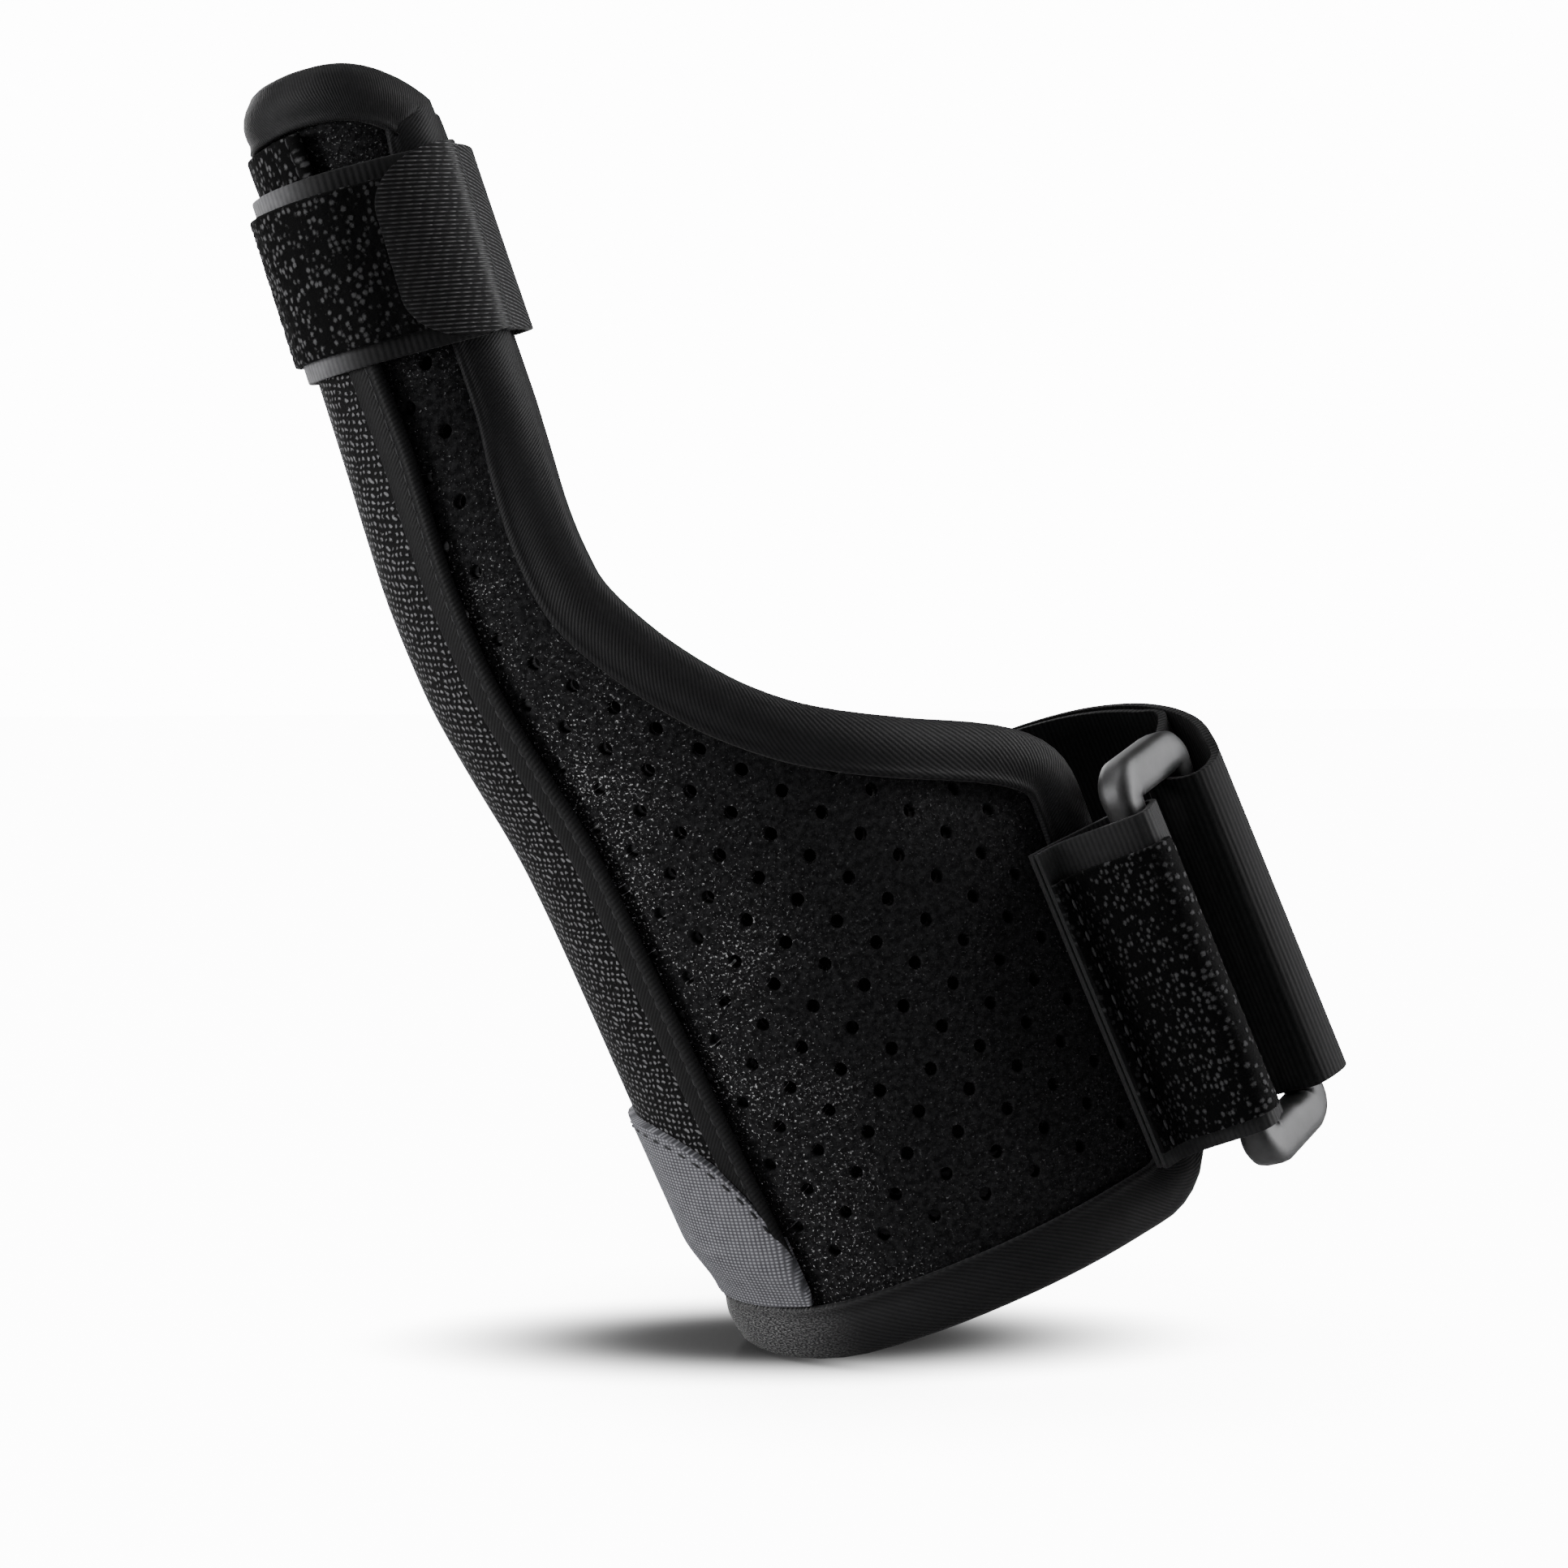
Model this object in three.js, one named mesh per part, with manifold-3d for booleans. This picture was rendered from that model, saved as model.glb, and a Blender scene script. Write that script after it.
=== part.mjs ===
// Thumb spica splint, standing as it is worn. Millimetres, +Z up along the forearm to the thumb tip,
// -X to the thumb side, +X to the ring side, -Y to the front. The origin is the middle of the wrist
// hollow at the height of the wrist strap.
//
// The whole splint is cut from one flat pattern, so its pieces are laid out in pattern millimetres:
// across is the distance round the limb from the stay line, and height is Z.

import * as THREE from 'three';
import { mergeVertices } from 'three/addons/utils/BufferGeometryUtils.js';
import Module from 'manifold-3d';

// Driving sizes of the limb form
const SPLINT_LENGTH = 185;
const HEM_DROP = 31;
const CUFF_HALF_WIDTH = 32.8;
const CUFF_HALF_DEPTH = 23;
const THUMB_RADIUS = 12.8;
const STAY_OFFSET = 32.4;
const PATTERN_REACH = 82;
const WEB_BACK_DROP = 5;

// Driving sizes of the cloth layers
const PANEL_THICKNESS = 2.5;
const CLEARANCE = 0.3;
const BINDING_THICKNESS = 0.8;
const BINDING_WIDTH = 6.5;
const BINDING_EASE = 0.4;
const HOOD_DEPTH = 6;
const DOME_DROP = 16;
const DOME_LEAN = 0.75;
const HEM_CORNER = 10;
const HEM_LIFT = 3;
const HEM_LIFT_HALF_WIDTH = 26;

// Perforations of the panel
const HOLE_DIAMETER = 2.4;
const HOLE_PITCH_UP = 18.4;
const HOLE_PITCH_ACROSS = 14.2;
const HOLE_EDGE_MARGIN = 3;
const HOLE_SIDES = 6;

// Stay pocket
const POCKET_HALF_WIDTH = 20;
const POCKET_THICKNESS = 1.5;
const PIPING_WIDTH = 3.4;
const PIPING_THICKNESS = 1.7;
const PATCH_HEIGHT = 28;
const PATCH_THICKNESS = 1.2;

// Thumb strap
const THUMB_STRAP_WIDTH = 25;
const THUMB_STRAP_BELOW_TIP = 28.7;
const THUMB_STRAP_DROP = 3.8;
const THUMB_PILE_WIDTH = 20;
const BAND_THICKNESS = 1;
const PILE_THICKNESS = 0.9;
const HOOK_THICKNESS = 1;
const HOOK_TAB_START = -19.5;
const HOOK_ROUND = 7;
const STRAP_STEP_WIDTH = 4;
const STRAP_END_MARGIN = 4;
const BAND_START_MARGIN = 1;

// Ring buckle, its tab and the wrist strap
const RING_LENGTH = 60;
const RING_WIDTH = 20;
const RING_BAR = 4.6;
const RING_THICKNESS = 4;
const RING_CORNER = 5;
const RING_BEVEL = 1;
const RING_STANDOFF = 12.5;
const RING_FORWARD = 0.9;
const RING_TURN = THREE.MathUtils.degToRad(-37);
const RING_DROP = 1.3;
const TAB_WIDTH = 46;
const TAB_DROP = 2;
const TAB_LENGTH = 9;
const TAB_SELVAGE = 4.5;
const WRIST_STRAP_WIDTH = 50;
const STRAP_RING_ROOM = 1.4;
const STRAP_SPREAD_BY = 0.3;
const STRAP_RISE = 5;
const WRIST_STRAP_THICKNESS = 1.2;
const LAYER_GAP = 0.5;
const WRIST_HOOK_LENGTH = 30;

// Shares of the limb form by height. up is a share of the splint's length from the hem, stay of the
// stay line's offset, wide and deep go from the thumb (0) to the cuff (1), reach is a share of the
// pattern's reach, and bend is the angle in degrees past which the cloth runs on straight.
const FORM = [
  { up: 0.0, stay: 1.0, wide: 1.0, deep: 1.0, reach: 0.967, bend: 125 },
  { up: 0.168, stay: 1.012, wide: 1.0, deep: 1.0, reach: 0.974, bend: 125 },
  { up: 0.308, stay: 1.016, wide: 1.0, deep: 1.0, reach: 1.0, bend: 125 },
  { up: 0.339, stay: 1.018, wide: 0.985, deep: 0.98, reach: 0.983, bend: 126 },
  { up: 0.366, stay: 1.021, wide: 0.96, deep: 0.95, reach: 0.911, bend: 127 },
  { up: 0.402, stay: 1.03, wide: 0.91, deep: 0.9, reach: 0.751, bend: 128 },
  { up: 0.434, stay: 1.047, wide: 0.85, deep: 0.85, reach: 0.634, bend: 131 },
  { up: 0.466, stay: 1.072, wide: 0.785, deep: 0.8, reach: 0.557, bend: 133 },
  { up: 0.502, stay: 1.098, wide: 0.69, deep: 0.72, reach: 0.498, bend: 136 },
  { up: 0.539, stay: 1.118, wide: 0.55, deep: 0.61, reach: 0.45, bend: 139 },
  { up: 0.579, stay: 1.12, wide: 0.41, deep: 0.48, reach: 0.407, bend: 142 },
  { up: 0.625, stay: 1.11, wide: 0.25, deep: 0.31, reach: 0.385, bend: 148 },
  { up: 0.675, stay: 1.08, wide: 0.11, deep: 0.14, reach: 0.372, bend: 154 },
  { up: 0.719, stay: 1.05, wide: 0.03, deep: 0.03, reach: 0.367, bend: 160 },
  { up: 0.8, stay: 1.0, wide: 0.0, deep: 0.0, reach: 0.36, bend: 160 },
  { up: 0.914, stay: 0.929, wide: -0.02, deep: -0.02, reach: 0.352, bend: 160 },
  { up: 0.97, stay: 0.889, wide: -0.04, deep: -0.04, reach: 0.35, bend: 160 },
  { up: 1.0, stay: 0.81, wide: -0.08, deep: -0.06, reach: 0.35, bend: 160 },
];

// Half width of the stay pocket by height, as shares of POCKET_HALF_WIDTH.
const POCKET_FORM = [
  { up: 0.0, half: 1.08 },
  { up: 0.3, half: 0.98 },
  { up: 0.55, half: 0.88 },
  { up: 0.78, half: 0.72 },
  { up: 1.0, half: 0.66 },
];

// The wrist strap's outer lap where it leaves the ring, as shares of the ring's width measured from
// the ring's centre. Then its way round to the back: side is a share of the ring centre's distance to
// the side, and toBack goes from the ring's centre (0) to the strap's place behind the cuff (1).
const LAP_FROM_RING = [
  { across: 0.2, out: 0.23 },
  { across: 0.37, out: 0.32 },
];
const LAP_ROUND_BACK = [
  { side: 1.242, toBack: 0.223 },
  { side: 1.231, toBack: 0.4225 },
  { side: 1.14, toBack: 0.635 },
  { side: 0.94, toBack: 0.845 },
  { side: 0.68, toBack: 0.975 },
  { side: 0.358, toBack: 1.0 },
];

const HALF_PANEL = PANEL_THICKNESS / 2;
const BASE = HALF_PANEL + CLEARANCE;
const HEM = -HEM_DROP;
const TIP = HEM + SPLINT_LENGTH;
const THUMB_STRAP_HEIGHT = TIP - THUMB_STRAP_BELOW_TIP;

function lerp(from, to, share) {
  return from + (to - from) * share;
}

function smooth(share) {
  return THREE.MathUtils.smoothstep(share, 0, 1);
}

// Reads one column of a table at a height share, along a smooth curve through its rows.
function track(table, key, up) {
  const last = table.length - 1;
  let low = 0;
  while (low < last - 1 && up > table[low + 1].up) {
    low += 1;
  }
  const slopeAt = (i) => {
    const before = table[Math.max(i - 1, 0)];
    const after = table[Math.min(i + 1, last)];
    return (after[key] - before[key]) / (after.up - before.up);
  };
  const a = table[low];
  const b = table[low + 1];
  const span = b.up - a.up;
  const t = THREE.MathUtils.clamp((up - a.up) / span, 0, 1);
  const bow = t * (1 - t) * span;
  return lerp(a[key], b[key], smooth(t)) + bow * ((1 - t) * slopeAt(low) - t * slopeAt(low + 1));
}

// The limb's section at a height: a flattened round that opens to a straight run on each free side,
// with the distance walked at every step of its angle.
const SECTION_STEPS = 90;
const sections = new Map();

function sectionAt(height) {
  const key = height.toFixed(5);
  if (sections.has(key)) {
    return sections.get(key);
  }
  const up = (height - HEM) / SPLINT_LENGTH;
  const wide = lerp(THUMB_RADIUS, CUFF_HALF_WIDTH, track(FORM, 'wide', up));
  const deep = lerp(THUMB_RADIUS, CUFF_HALF_DEPTH, track(FORM, 'deep', up));
  const centre = wide - STAY_OFFSET * track(FORM, 'stay', up);
  const bend = THREE.MathUtils.degToRad(track(FORM, 'bend', up));
  const points = [];
  let walked = 0;
  for (let i = 0; i <= SECTION_STEPS; i += 1) {
    const angle = (bend * i) / SECTION_STEPS;
    const point = { x: centre - wide * Math.cos(angle), y: deep * Math.sin(angle), walked: 0 };
    if (i > 0) {
      const before = points[i - 1];
      walked += Math.hypot(point.x - before.x, point.y - before.y);
    }
    point.walked = walked;
    points.push(point);
  }
  const run = new THREE.Vector2(wide * Math.sin(bend), deep * Math.cos(bend)).normalize();
  const section = { points, length: walked, run };
  sections.set(key, section);
  return section;
}

// A point of the panel's middle surface. Positive across goes round the back, negative the front.
function middlePoint(across, height) {
  const section = sectionAt(height);
  const distance = Math.abs(across);
  const side = Math.sign(across);
  if (distance >= section.length) {
    const end = section.points[SECTION_STEPS];
    const past = distance - section.length;
    return new THREE.Vector3(end.x + section.run.x * past, side * (end.y + section.run.y * past), height);
  }
  let low = Math.floor((distance / section.length) * SECTION_STEPS);
  while (low > 0 && section.points[low].walked > distance) {
    low -= 1;
  }
  while (section.points[low + 1].walked < distance) {
    low += 1;
  }
  const a = section.points[low];
  const b = section.points[low + 1];
  const t = (distance - a.walked) / (b.walked - a.walked);
  return new THREE.Vector3(lerp(a.x, b.x, t), side * lerp(a.y, b.y, t), height);
}

// The same point moved off the middle surface, outward from the limb for a positive lift.
const PROBE = 0.8;

function formPoint(across, height, lift) {
  const alongAcross = middlePoint(across + PROBE, height).sub(middlePoint(across - PROBE, height));
  const alongHeight = middlePoint(across, height + PROBE).sub(middlePoint(across, height - PROBE));
  const outward = alongHeight.cross(alongAcross).normalize();
  return middlePoint(across, height).addScaledVector(outward, lift);
}

// How far the pattern reaches from the stay line. Its edge over the web lies lower at the back.
function reachAt(height, side = -1) {
  const drop = side > 0 ? WEB_BACK_DROP : 0;
  return PATTERN_REACH * track(FORM, 'reach', (height + drop - HEM) / SPLINT_LENGTH);
}

function pocketHalfAt(height) {
  return POCKET_HALF_WIDTH * track(POCKET_FORM, 'half', (height - HEM) / SPLINT_LENGTH);
}

// Heights of the pattern's hem and domed thumb end at a distance across.
function hemAt(across) {
  const distance = Math.abs(across);
  const lift = HEM_LIFT * (1 - smooth(distance / HEM_LIFT_HALF_WIDTH));
  const intoCorner = Math.max(0, distance - (reachAt(HEM) - HEM_CORNER));
  const share = Math.min(1, intoCorner / HEM_CORNER);
  return HEM + lift + HEM_CORNER * (1 - Math.sqrt(1 - share * share));
}

function tipAt(share) {
  const slope = Math.abs(share) ** 1.5;
  const round = 1 - Math.sqrt(Math.max(0, 1 - share * share));
  return TIP - DOME_DROP * lerp(round, slope, DOME_LEAN);
}

// Pattern point from a share across (-1 to 1) and a share up (0 to 1) of the outline.
function outlinePoint(acrossShare, upShare) {
  const hem = hemAt(acrossShare * reachAt(HEM));
  const height = lerp(hem, tipAt(acrossShare), upShare);
  return { across: acrossShare * reachAt(height, acrossShare), height };
}

// A closed sheet solid. place(i, j, face) gives each grid point of its inner (0) and outer (1) face.
function sheetGeometry(rows, columns, place) {
  const positions = [];
  const indices = [];
  const perFace = (rows + 1) * (columns + 1);
  for (let face = 0; face < 2; face += 1) {
    for (let i = 0; i <= rows; i += 1) {
      for (let j = 0; j <= columns; j += 1) {
        positions.push(...place(i, j, face).toArray());
      }
    }
  }
  const at = (i, j, face) => face * perFace + i * (columns + 1) + j;
  const quad = (a, b, c, d) => indices.push(a, b, c, a, c, d);
  for (let i = 0; i < rows; i += 1) {
    for (let j = 0; j < columns; j += 1) {
      quad(at(i, j, 1), at(i + 1, j, 1), at(i + 1, j + 1, 1), at(i, j + 1, 1));
      quad(at(i, j, 0), at(i, j + 1, 0), at(i + 1, j + 1, 0), at(i + 1, j, 0));
    }
    quad(at(i, 0, 0), at(i + 1, 0, 0), at(i + 1, 0, 1), at(i, 0, 1));
    quad(at(i, columns, 1), at(i + 1, columns, 1), at(i + 1, columns, 0), at(i, columns, 0));
  }
  for (let j = 0; j < columns; j += 1) {
    quad(at(0, j, 1), at(0, j + 1, 1), at(0, j + 1, 0), at(0, j, 0));
    quad(at(rows, j, 0), at(rows, j + 1, 0), at(rows, j + 1, 1), at(rows, j, 1));
  }
  return facingOut(positions, indices);
}

// A closed tube of one section, given as stations of points that are already placed.
function loopGeometry(stations) {
  const positions = [];
  const indices = [];
  const sides = stations[0].length;
  stations.forEach((station) => station.forEach((point) => positions.push(...point.toArray())));
  for (let i = 0; i < stations.length; i += 1) {
    const next = (i + 1) % stations.length;
    for (let j = 0; j < sides; j += 1) {
      const k = (j + 1) % sides;
      const a = i * sides + j;
      const b = next * sides + j;
      const c = next * sides + k;
      const d = i * sides + k;
      indices.push(a, b, c, a, c, d);
    }
  }
  return facingOut(positions, indices);
}

// Builds a geometry and turns its faces outward if its volume comes out negative.
function facingOut(positions, indices) {
  const corner = (n) => new THREE.Vector3().fromArray(positions, 3 * indices[n]);
  let volume = 0;
  for (let n = 0; n < indices.length; n += 3) {
    volume += corner(n).dot(corner(n + 1).cross(corner(n + 2)));
  }
  if (volume < 0) {
    indices.reverse();
  }
  const geometry = new THREE.BufferGeometry();
  geometry.setAttribute('position', new THREE.Float32BufferAttribute(positions, 3));
  geometry.setIndex(indices);
  return geometry;
}

const WELD = 1e-4;
const wasm = await Module();
wasm.setup();

function bareGeometry(geometry) {
  geometry.deleteAttribute('normal');
  geometry.deleteAttribute('uv');
  return geometry;
}

function solidOf(geometry) {
  const merged = mergeVertices(bareGeometry(geometry.clone()), WELD);
  const vertProperties = new Float32Array(merged.getAttribute('position').array);
  const triVerts = new Uint32Array(merged.getIndex().array);
  return new wasm.Manifold(new wasm.Mesh({ numProp: 3, vertProperties, triVerts }));
}

function geometryOf(solid) {
  const mesh = solid.getMesh();
  const geometry = new THREE.BufferGeometry();
  geometry.setAttribute('position', new THREE.Float32BufferAttribute(mesh.vertProperties, 3));
  geometry.setIndex(Array.from(mesh.triVerts));
  return geometry;
}

const group = new THREE.Group();

function addPiece(name, geometry, color, roughness, metalness = 0) {
  geometry.computeVertexNormals();
  const material = new THREE.MeshStandardMaterial({ color, roughness, metalness });
  const mesh = new THREE.Mesh(geometry, material);
  mesh.name = name;
  group.add(mesh);
  return mesh;
}

// Foam laminate panel with its perforations
const PANEL_ROWS = 24;
const PANEL_COLUMNS = 28;
const COLUMN_CROWDING = 0.3;

// Columns lie closer together towards the free sides, where the outline's corners are.
function columnShare(j, columns) {
  const even = (2 * j) / columns - 1;
  return lerp(even, Math.sin((even * Math.PI) / 2), COLUMN_CROWDING);
}

function holeCutters() {
  const cutters = [];
  const up = new THREE.Vector3(0, 1, 0);
  const rowPitch = HOLE_PITCH_UP / 2;
  const rows = Math.floor(SPLINT_LENGTH / rowPitch);
  const columns = Math.ceil(PATTERN_REACH / HOLE_PITCH_ACROSS);
  const margin = BINDING_WIDTH + HOLE_EDGE_MARGIN;
  for (let row = 1; row < rows; row += 1) {
    const height = HEM + row * rowPitch;
    for (let column = -columns; column <= columns; column += 1) {
      const across = (column + (row % 2) / 2) * HOLE_PITCH_ACROSS;
      const hood = TIP - HOOD_DEPTH - HOLE_EDGE_MARGIN;
      const insideSide = Math.abs(across) + margin < reachAt(height, across);
      const insideEnds = height > hemAt(across) + margin && height < hood;
      const underPocket = Math.abs(across) < pocketHalfAt(height) + HOLE_DIAMETER / 2;
      const rise = reachAt(height + margin, across) - reachAt(height - margin, across);
      const slope = Math.abs(rise) / (2 * margin);
      const insideSlope = Math.abs(across) + margin * Math.hypot(1, slope) < reachAt(height, across);
      if (insideSide && insideSlope && insideEnds && !underPocket) {
        const inner = formPoint(across, height, -PANEL_THICKNESS);
        const outer = formPoint(across, height, PANEL_THICKNESS);
        const radius = HOLE_DIAMETER / 2;
        const cutter = new THREE.CylinderGeometry(radius, radius, inner.distanceTo(outer), HOLE_SIDES);
        const direction = outer.clone().sub(inner).normalize();
        cutter.applyQuaternion(new THREE.Quaternion().setFromUnitVectors(up, direction));
        const middle = inner.lerp(outer, 0.5);
        cutter.translate(middle.x, middle.y, middle.z);
        cutters.push(cutter);
      }
    }
  }
  return cutters;
}

const panelSheet = sheetGeometry(PANEL_ROWS, PANEL_COLUMNS, (i, j, face) => {
  const point = outlinePoint(columnShare(j, PANEL_COLUMNS), i / PANEL_ROWS);
  return formPoint(point.across, point.height, face ? HALF_PANEL : -HALF_PANEL);
});

let panel = solidOf(panelSheet);
for (const cutter of holeCutters()) {
  panel = panel.subtract(solidOf(cutter));
}
addPiece('splint_panel', geometryOf(panel), '#1b1c1e', 0.95);

// Edge binding: one folded strip that runs round the whole outline
function outlineLoop() {
  const loop = [];
  for (let j = 0; j < PANEL_COLUMNS; j += 1) {
    loop.push(outlinePoint(columnShare(j, PANEL_COLUMNS), 0));
  }
  for (let i = 0; i < PANEL_ROWS; i += 1) {
    loop.push(outlinePoint(1, i / PANEL_ROWS));
  }
  for (let j = PANEL_COLUMNS; j > 0; j -= 1) {
    loop.push(outlinePoint(columnShare(j, PANEL_COLUMNS), 1));
  }
  for (let i = PANEL_ROWS; i > 0; i -= 1) {
    loop.push(outlinePoint(-1, i / PANEL_ROWS));
  }
  return loop;
}

// Depth of the binding at a height: it widens to the hood over the thumb end.
function bindingDepthAt(height) {
  const hoodStart = TIP - DOME_DROP - HOOD_DEPTH;
  return lerp(BINDING_WIDTH, HOOD_DEPTH, smooth((height - hoodStart) / DOME_DROP));
}

function bindingStations() {
  const loop = outlineLoop();
  const near = BASE + BINDING_EASE / 2;
  const inside = BASE + BINDING_EASE;
  const far = near + BINDING_THICKNESS;
  const under = inside + BINDING_THICKNESS;
  const lip = CLEARANCE + BINDING_THICKNESS;
  return loop.map((point, n) => {
    const before = loop[(n + loop.length - 1) % loop.length];
    const after = loop[(n + 1) % loop.length];
    const along = new THREE.Vector2(after.across - before.across, after.height - before.height).normalize();
    const inward = { across: -along.y, height: along.x };
    const depth = bindingDepthAt(point.height);
    const profile = [
      [depth, far], [depth / 2, far], [0, far], [-lip, 0], [0, -under], [depth, -under],
      [depth, -inside], [-CLEARANCE, -inside], [-CLEARANCE, near], [depth / 2, near], [depth, near],
    ];
    return profile.map(([inset, lift]) => {
      const across = point.across + inward.across * inset;
      const height = point.height + inward.height * inset;
      return formPoint(across, height, lift);
    });
  });
}

addPiece('edge_binding', loopGeometry(bindingStations()), '#151617', 0.7);

// Stay pocket on the thumb side, between the binding's hood and hem flanges
const PATCH_TOP = HEM + HEM_LIFT + BINDING_WIDTH + PATCH_HEIGHT;
const POCKET_ROWS = 22;
const POCKET_COLUMNS = 8;
const PIPING_COLUMNS = 3;
const PATCH_ROWS = 6;
const PATCH_COLUMNS = 14;
const PATCH_FILL = 0.97;
const PATCH_ARCH = 2.3;
const PATCH_FOOT = 1;

// The pocket's top follows the hood's lower edge, square to the dome's slope.
function pocketTopAt(across) {
  const reach = reachAt(TIP);
  const top = tipAt(across / reach);
  const slope = top - tipAt((Math.abs(across) + 1) / reach);
  return top - (HOOD_DEPTH + 2 * CLEARANCE) * Math.hypot(1, slope);
}

function hemTopAt(across) {
  return hemAt(across) + BINDING_WIDTH + 2 * CLEARANCE;
}

// The patch's round top, as a height at a distance across.
function patchTopAt(across) {
  const half = pocketHalfAt(HEM);
  const share = Math.min(1, Math.abs(across) / half);
  return lerp(hemTopAt(half) + PATCH_FOOT, PATCH_TOP, (1 - share ** PATCH_ARCH) ** (1 / PATCH_ARCH));
}

// Columns lie closer together towards the arch's steep sides.
function patchColumnShare(share) {
  return Math.sin((share - 0.5) * Math.PI);
}

function abovePatchAt(across) {
  return patchTopAt(across) + 2 * CLEARANCE;
}

// A strip on the panel between two distances across and two heights that follow functions. The
// distances depend on the height and the heights on the distance, so a few turns settle both.
const SETTLING_TURNS = 5;

function stripGeometry(rows, columns, acrossAt, bottomAt, topAt, low, high) {
  return sheetGeometry(rows, columns, (i, j, face) => {
    const share = j / columns;
    let height = lerp(HEM, TIP, i / rows);
    for (let turn = 0; turn < SETTLING_TURNS; turn += 1) {
      const across = acrossAt(share, height);
      height = lerp(bottomAt(across), topAt(across), i / rows);
    }
    return formPoint(acrossAt(share, height), height, face ? high : low);
  });
}

const innerHalfAt = (height) => pocketHalfAt(height) - PIPING_WIDTH - CLEARANCE;
const pocketHigh = BASE + POCKET_THICKNESS;

addPiece('stay_pocket', stripGeometry(
  POCKET_ROWS, POCKET_COLUMNS,
  (share, height) => patchColumnShare(share) * innerHalfAt(height),
  abovePatchAt,
  pocketTopAt,
  BASE, pocketHigh,
), '#202124', 0.85);

addPiece('pocket_end_patch', stripGeometry(
  PATCH_ROWS, PATCH_COLUMNS,
  (share) => patchColumnShare(share) * pocketHalfAt(HEM) * PATCH_FILL,
  hemTopAt,
  patchTopAt,
  BASE, BASE + PATCH_THICKNESS,
), '#6c6d73', 0.9);

for (const [name, side] of [['pocket_piping_front', -1], ['pocket_piping_back', 1]]) {
  addPiece(name, stripGeometry(
    POCKET_ROWS, PIPING_COLUMNS,
    (share, height) => side * lerp(innerHalfAt(height) + CLEARANCE, pocketHalfAt(height), share),
    abovePatchAt,
    pocketTopAt,
    BASE, BASE + PIPING_THICKNESS,
  ), '#141516', 0.6);
}

// Thumb strap. Its route follows the panel round the thumb and crosses the open side in a shallow arc.
const STRAP_ROWS = 2;
const STRAP_COLUMNS = 28;
const CROSSING_HANDLE = 0.21;
const STRAP_TUCK = 1;

function thumbLoop(height) {
  const edge = reachAt(height) - STRAP_TUCK;
  const back = middlePoint(edge, height);
  const crossing = back.y * 2;
  return { edge, crossing, length: 2 * edge + crossing };
}

function thumbLoopPoint(along, height, lift) {
  const loop = thumbLoop(height);
  let place = along;
  if (place < -loop.edge) {
    place += loop.length;
  }
  if (place <= loop.edge) {
    return formPoint(place, height, lift);
  }
  const start = formPoint(loop.edge, height, lift);
  const end = formPoint(-loop.edge, height, lift);
  const ahead = formPoint(loop.edge, height, lift).sub(formPoint(loop.edge - 1, height, lift)).normalize();
  const behind = formPoint(-loop.edge, height, lift).sub(formPoint(1 - loop.edge, height, lift)).normalize();
  const handle = start.distanceTo(end) * CROSSING_HANDLE;
  const curve = new THREE.CubicBezierCurve3(
    start,
    start.clone().addScaledVector(ahead, handle),
    end.clone().addScaledVector(behind, handle),
    end,
  );
  return curve.getPoint((place - loop.edge) / loop.crossing);
}

// Height of a point of the thumb strap: the strap hangs lower on the open side.
function strapHeight(along, offset) {
  const loop = thumbLoop(THUMB_STRAP_HEIGHT);
  const drop = THUMB_STRAP_DROP * (1 - Math.cos((2 * Math.PI * along) / loop.length)) / 2;
  return THUMB_STRAP_HEIGHT + THUMB_STRAP_DROP / 2 - drop + offset;
}

// How far the pocket and its piping lift the strap off the panel, with the binding at the free sides.
function strapBase(along) {
  const loop = thumbLoop(THUMB_STRAP_HEIGHT);
  const half = pocketHalfAt(THUMB_STRAP_HEIGHT - THUMB_STRAP_WIDTH / 2) + CLEARANCE;
  const wrapped = along < -loop.edge ? along + loop.length : along;
  const offPocket = smooth((Math.abs(wrapped) - half) / STRAP_STEP_WIDTH);
  const onBinding = BASE + BINDING_EASE / 2 + BINDING_THICKNESS + CLEARANCE;
  return lerp(BASE + PIPING_THICKNESS + CLEARANCE, onBinding, offPocket);
}

const thumbRound = thumbLoop(THUMB_STRAP_HEIGHT);
const bandStart = -thumbRound.edge + BAND_START_MARGIN;
const pileEnd = thumbRound.edge - STRAP_END_MARGIN;
const bandTop = BAND_THICKNESS;
const pileLow = bandTop + CLEARANCE;
const pileTop = pileLow + PILE_THICKNESS;
const hookOver = pileTop + CLEARANCE;

// edgesAt gives the strip's lower and upper edge, as distances from the strap's middle line.
function strapGeometry(from, to, edgesAt, low, high, layersAt = () => 0) {
  return sheetGeometry(STRAP_COLUMNS, STRAP_ROWS, (i, j, face) => {
    const along = lerp(from, to, i / STRAP_COLUMNS);
    const [lower, upper] = edgesAt(along);
    const lift = strapBase(along) + layersAt(along) + (face ? high : low);
    return thumbLoopPoint(along, strapHeight(along, lerp(lower, upper, j / STRAP_ROWS)), lift);
  });
}

const HALF_STRAP = THUMB_STRAP_WIDTH / 2;
const HALF_PILE = THUMB_PILE_WIDTH / 2;

addPiece('thumb_strap_band', strapGeometry(
  bandStart, pileEnd, () => [-HALF_STRAP, HALF_STRAP], 0, bandTop,
), '#5b5c61', 0.85);
addPiece('thumb_strap_pile', strapGeometry(
  bandStart + CLEARANCE, pileEnd - CLEARANCE, () => [-HALF_PILE, HALF_PILE], pileLow, pileTop,
), '#1d1e20', 1);

// The hook tab's end has two round corners.
const hookEnd = pileEnd - thumbRound.length;

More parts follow.
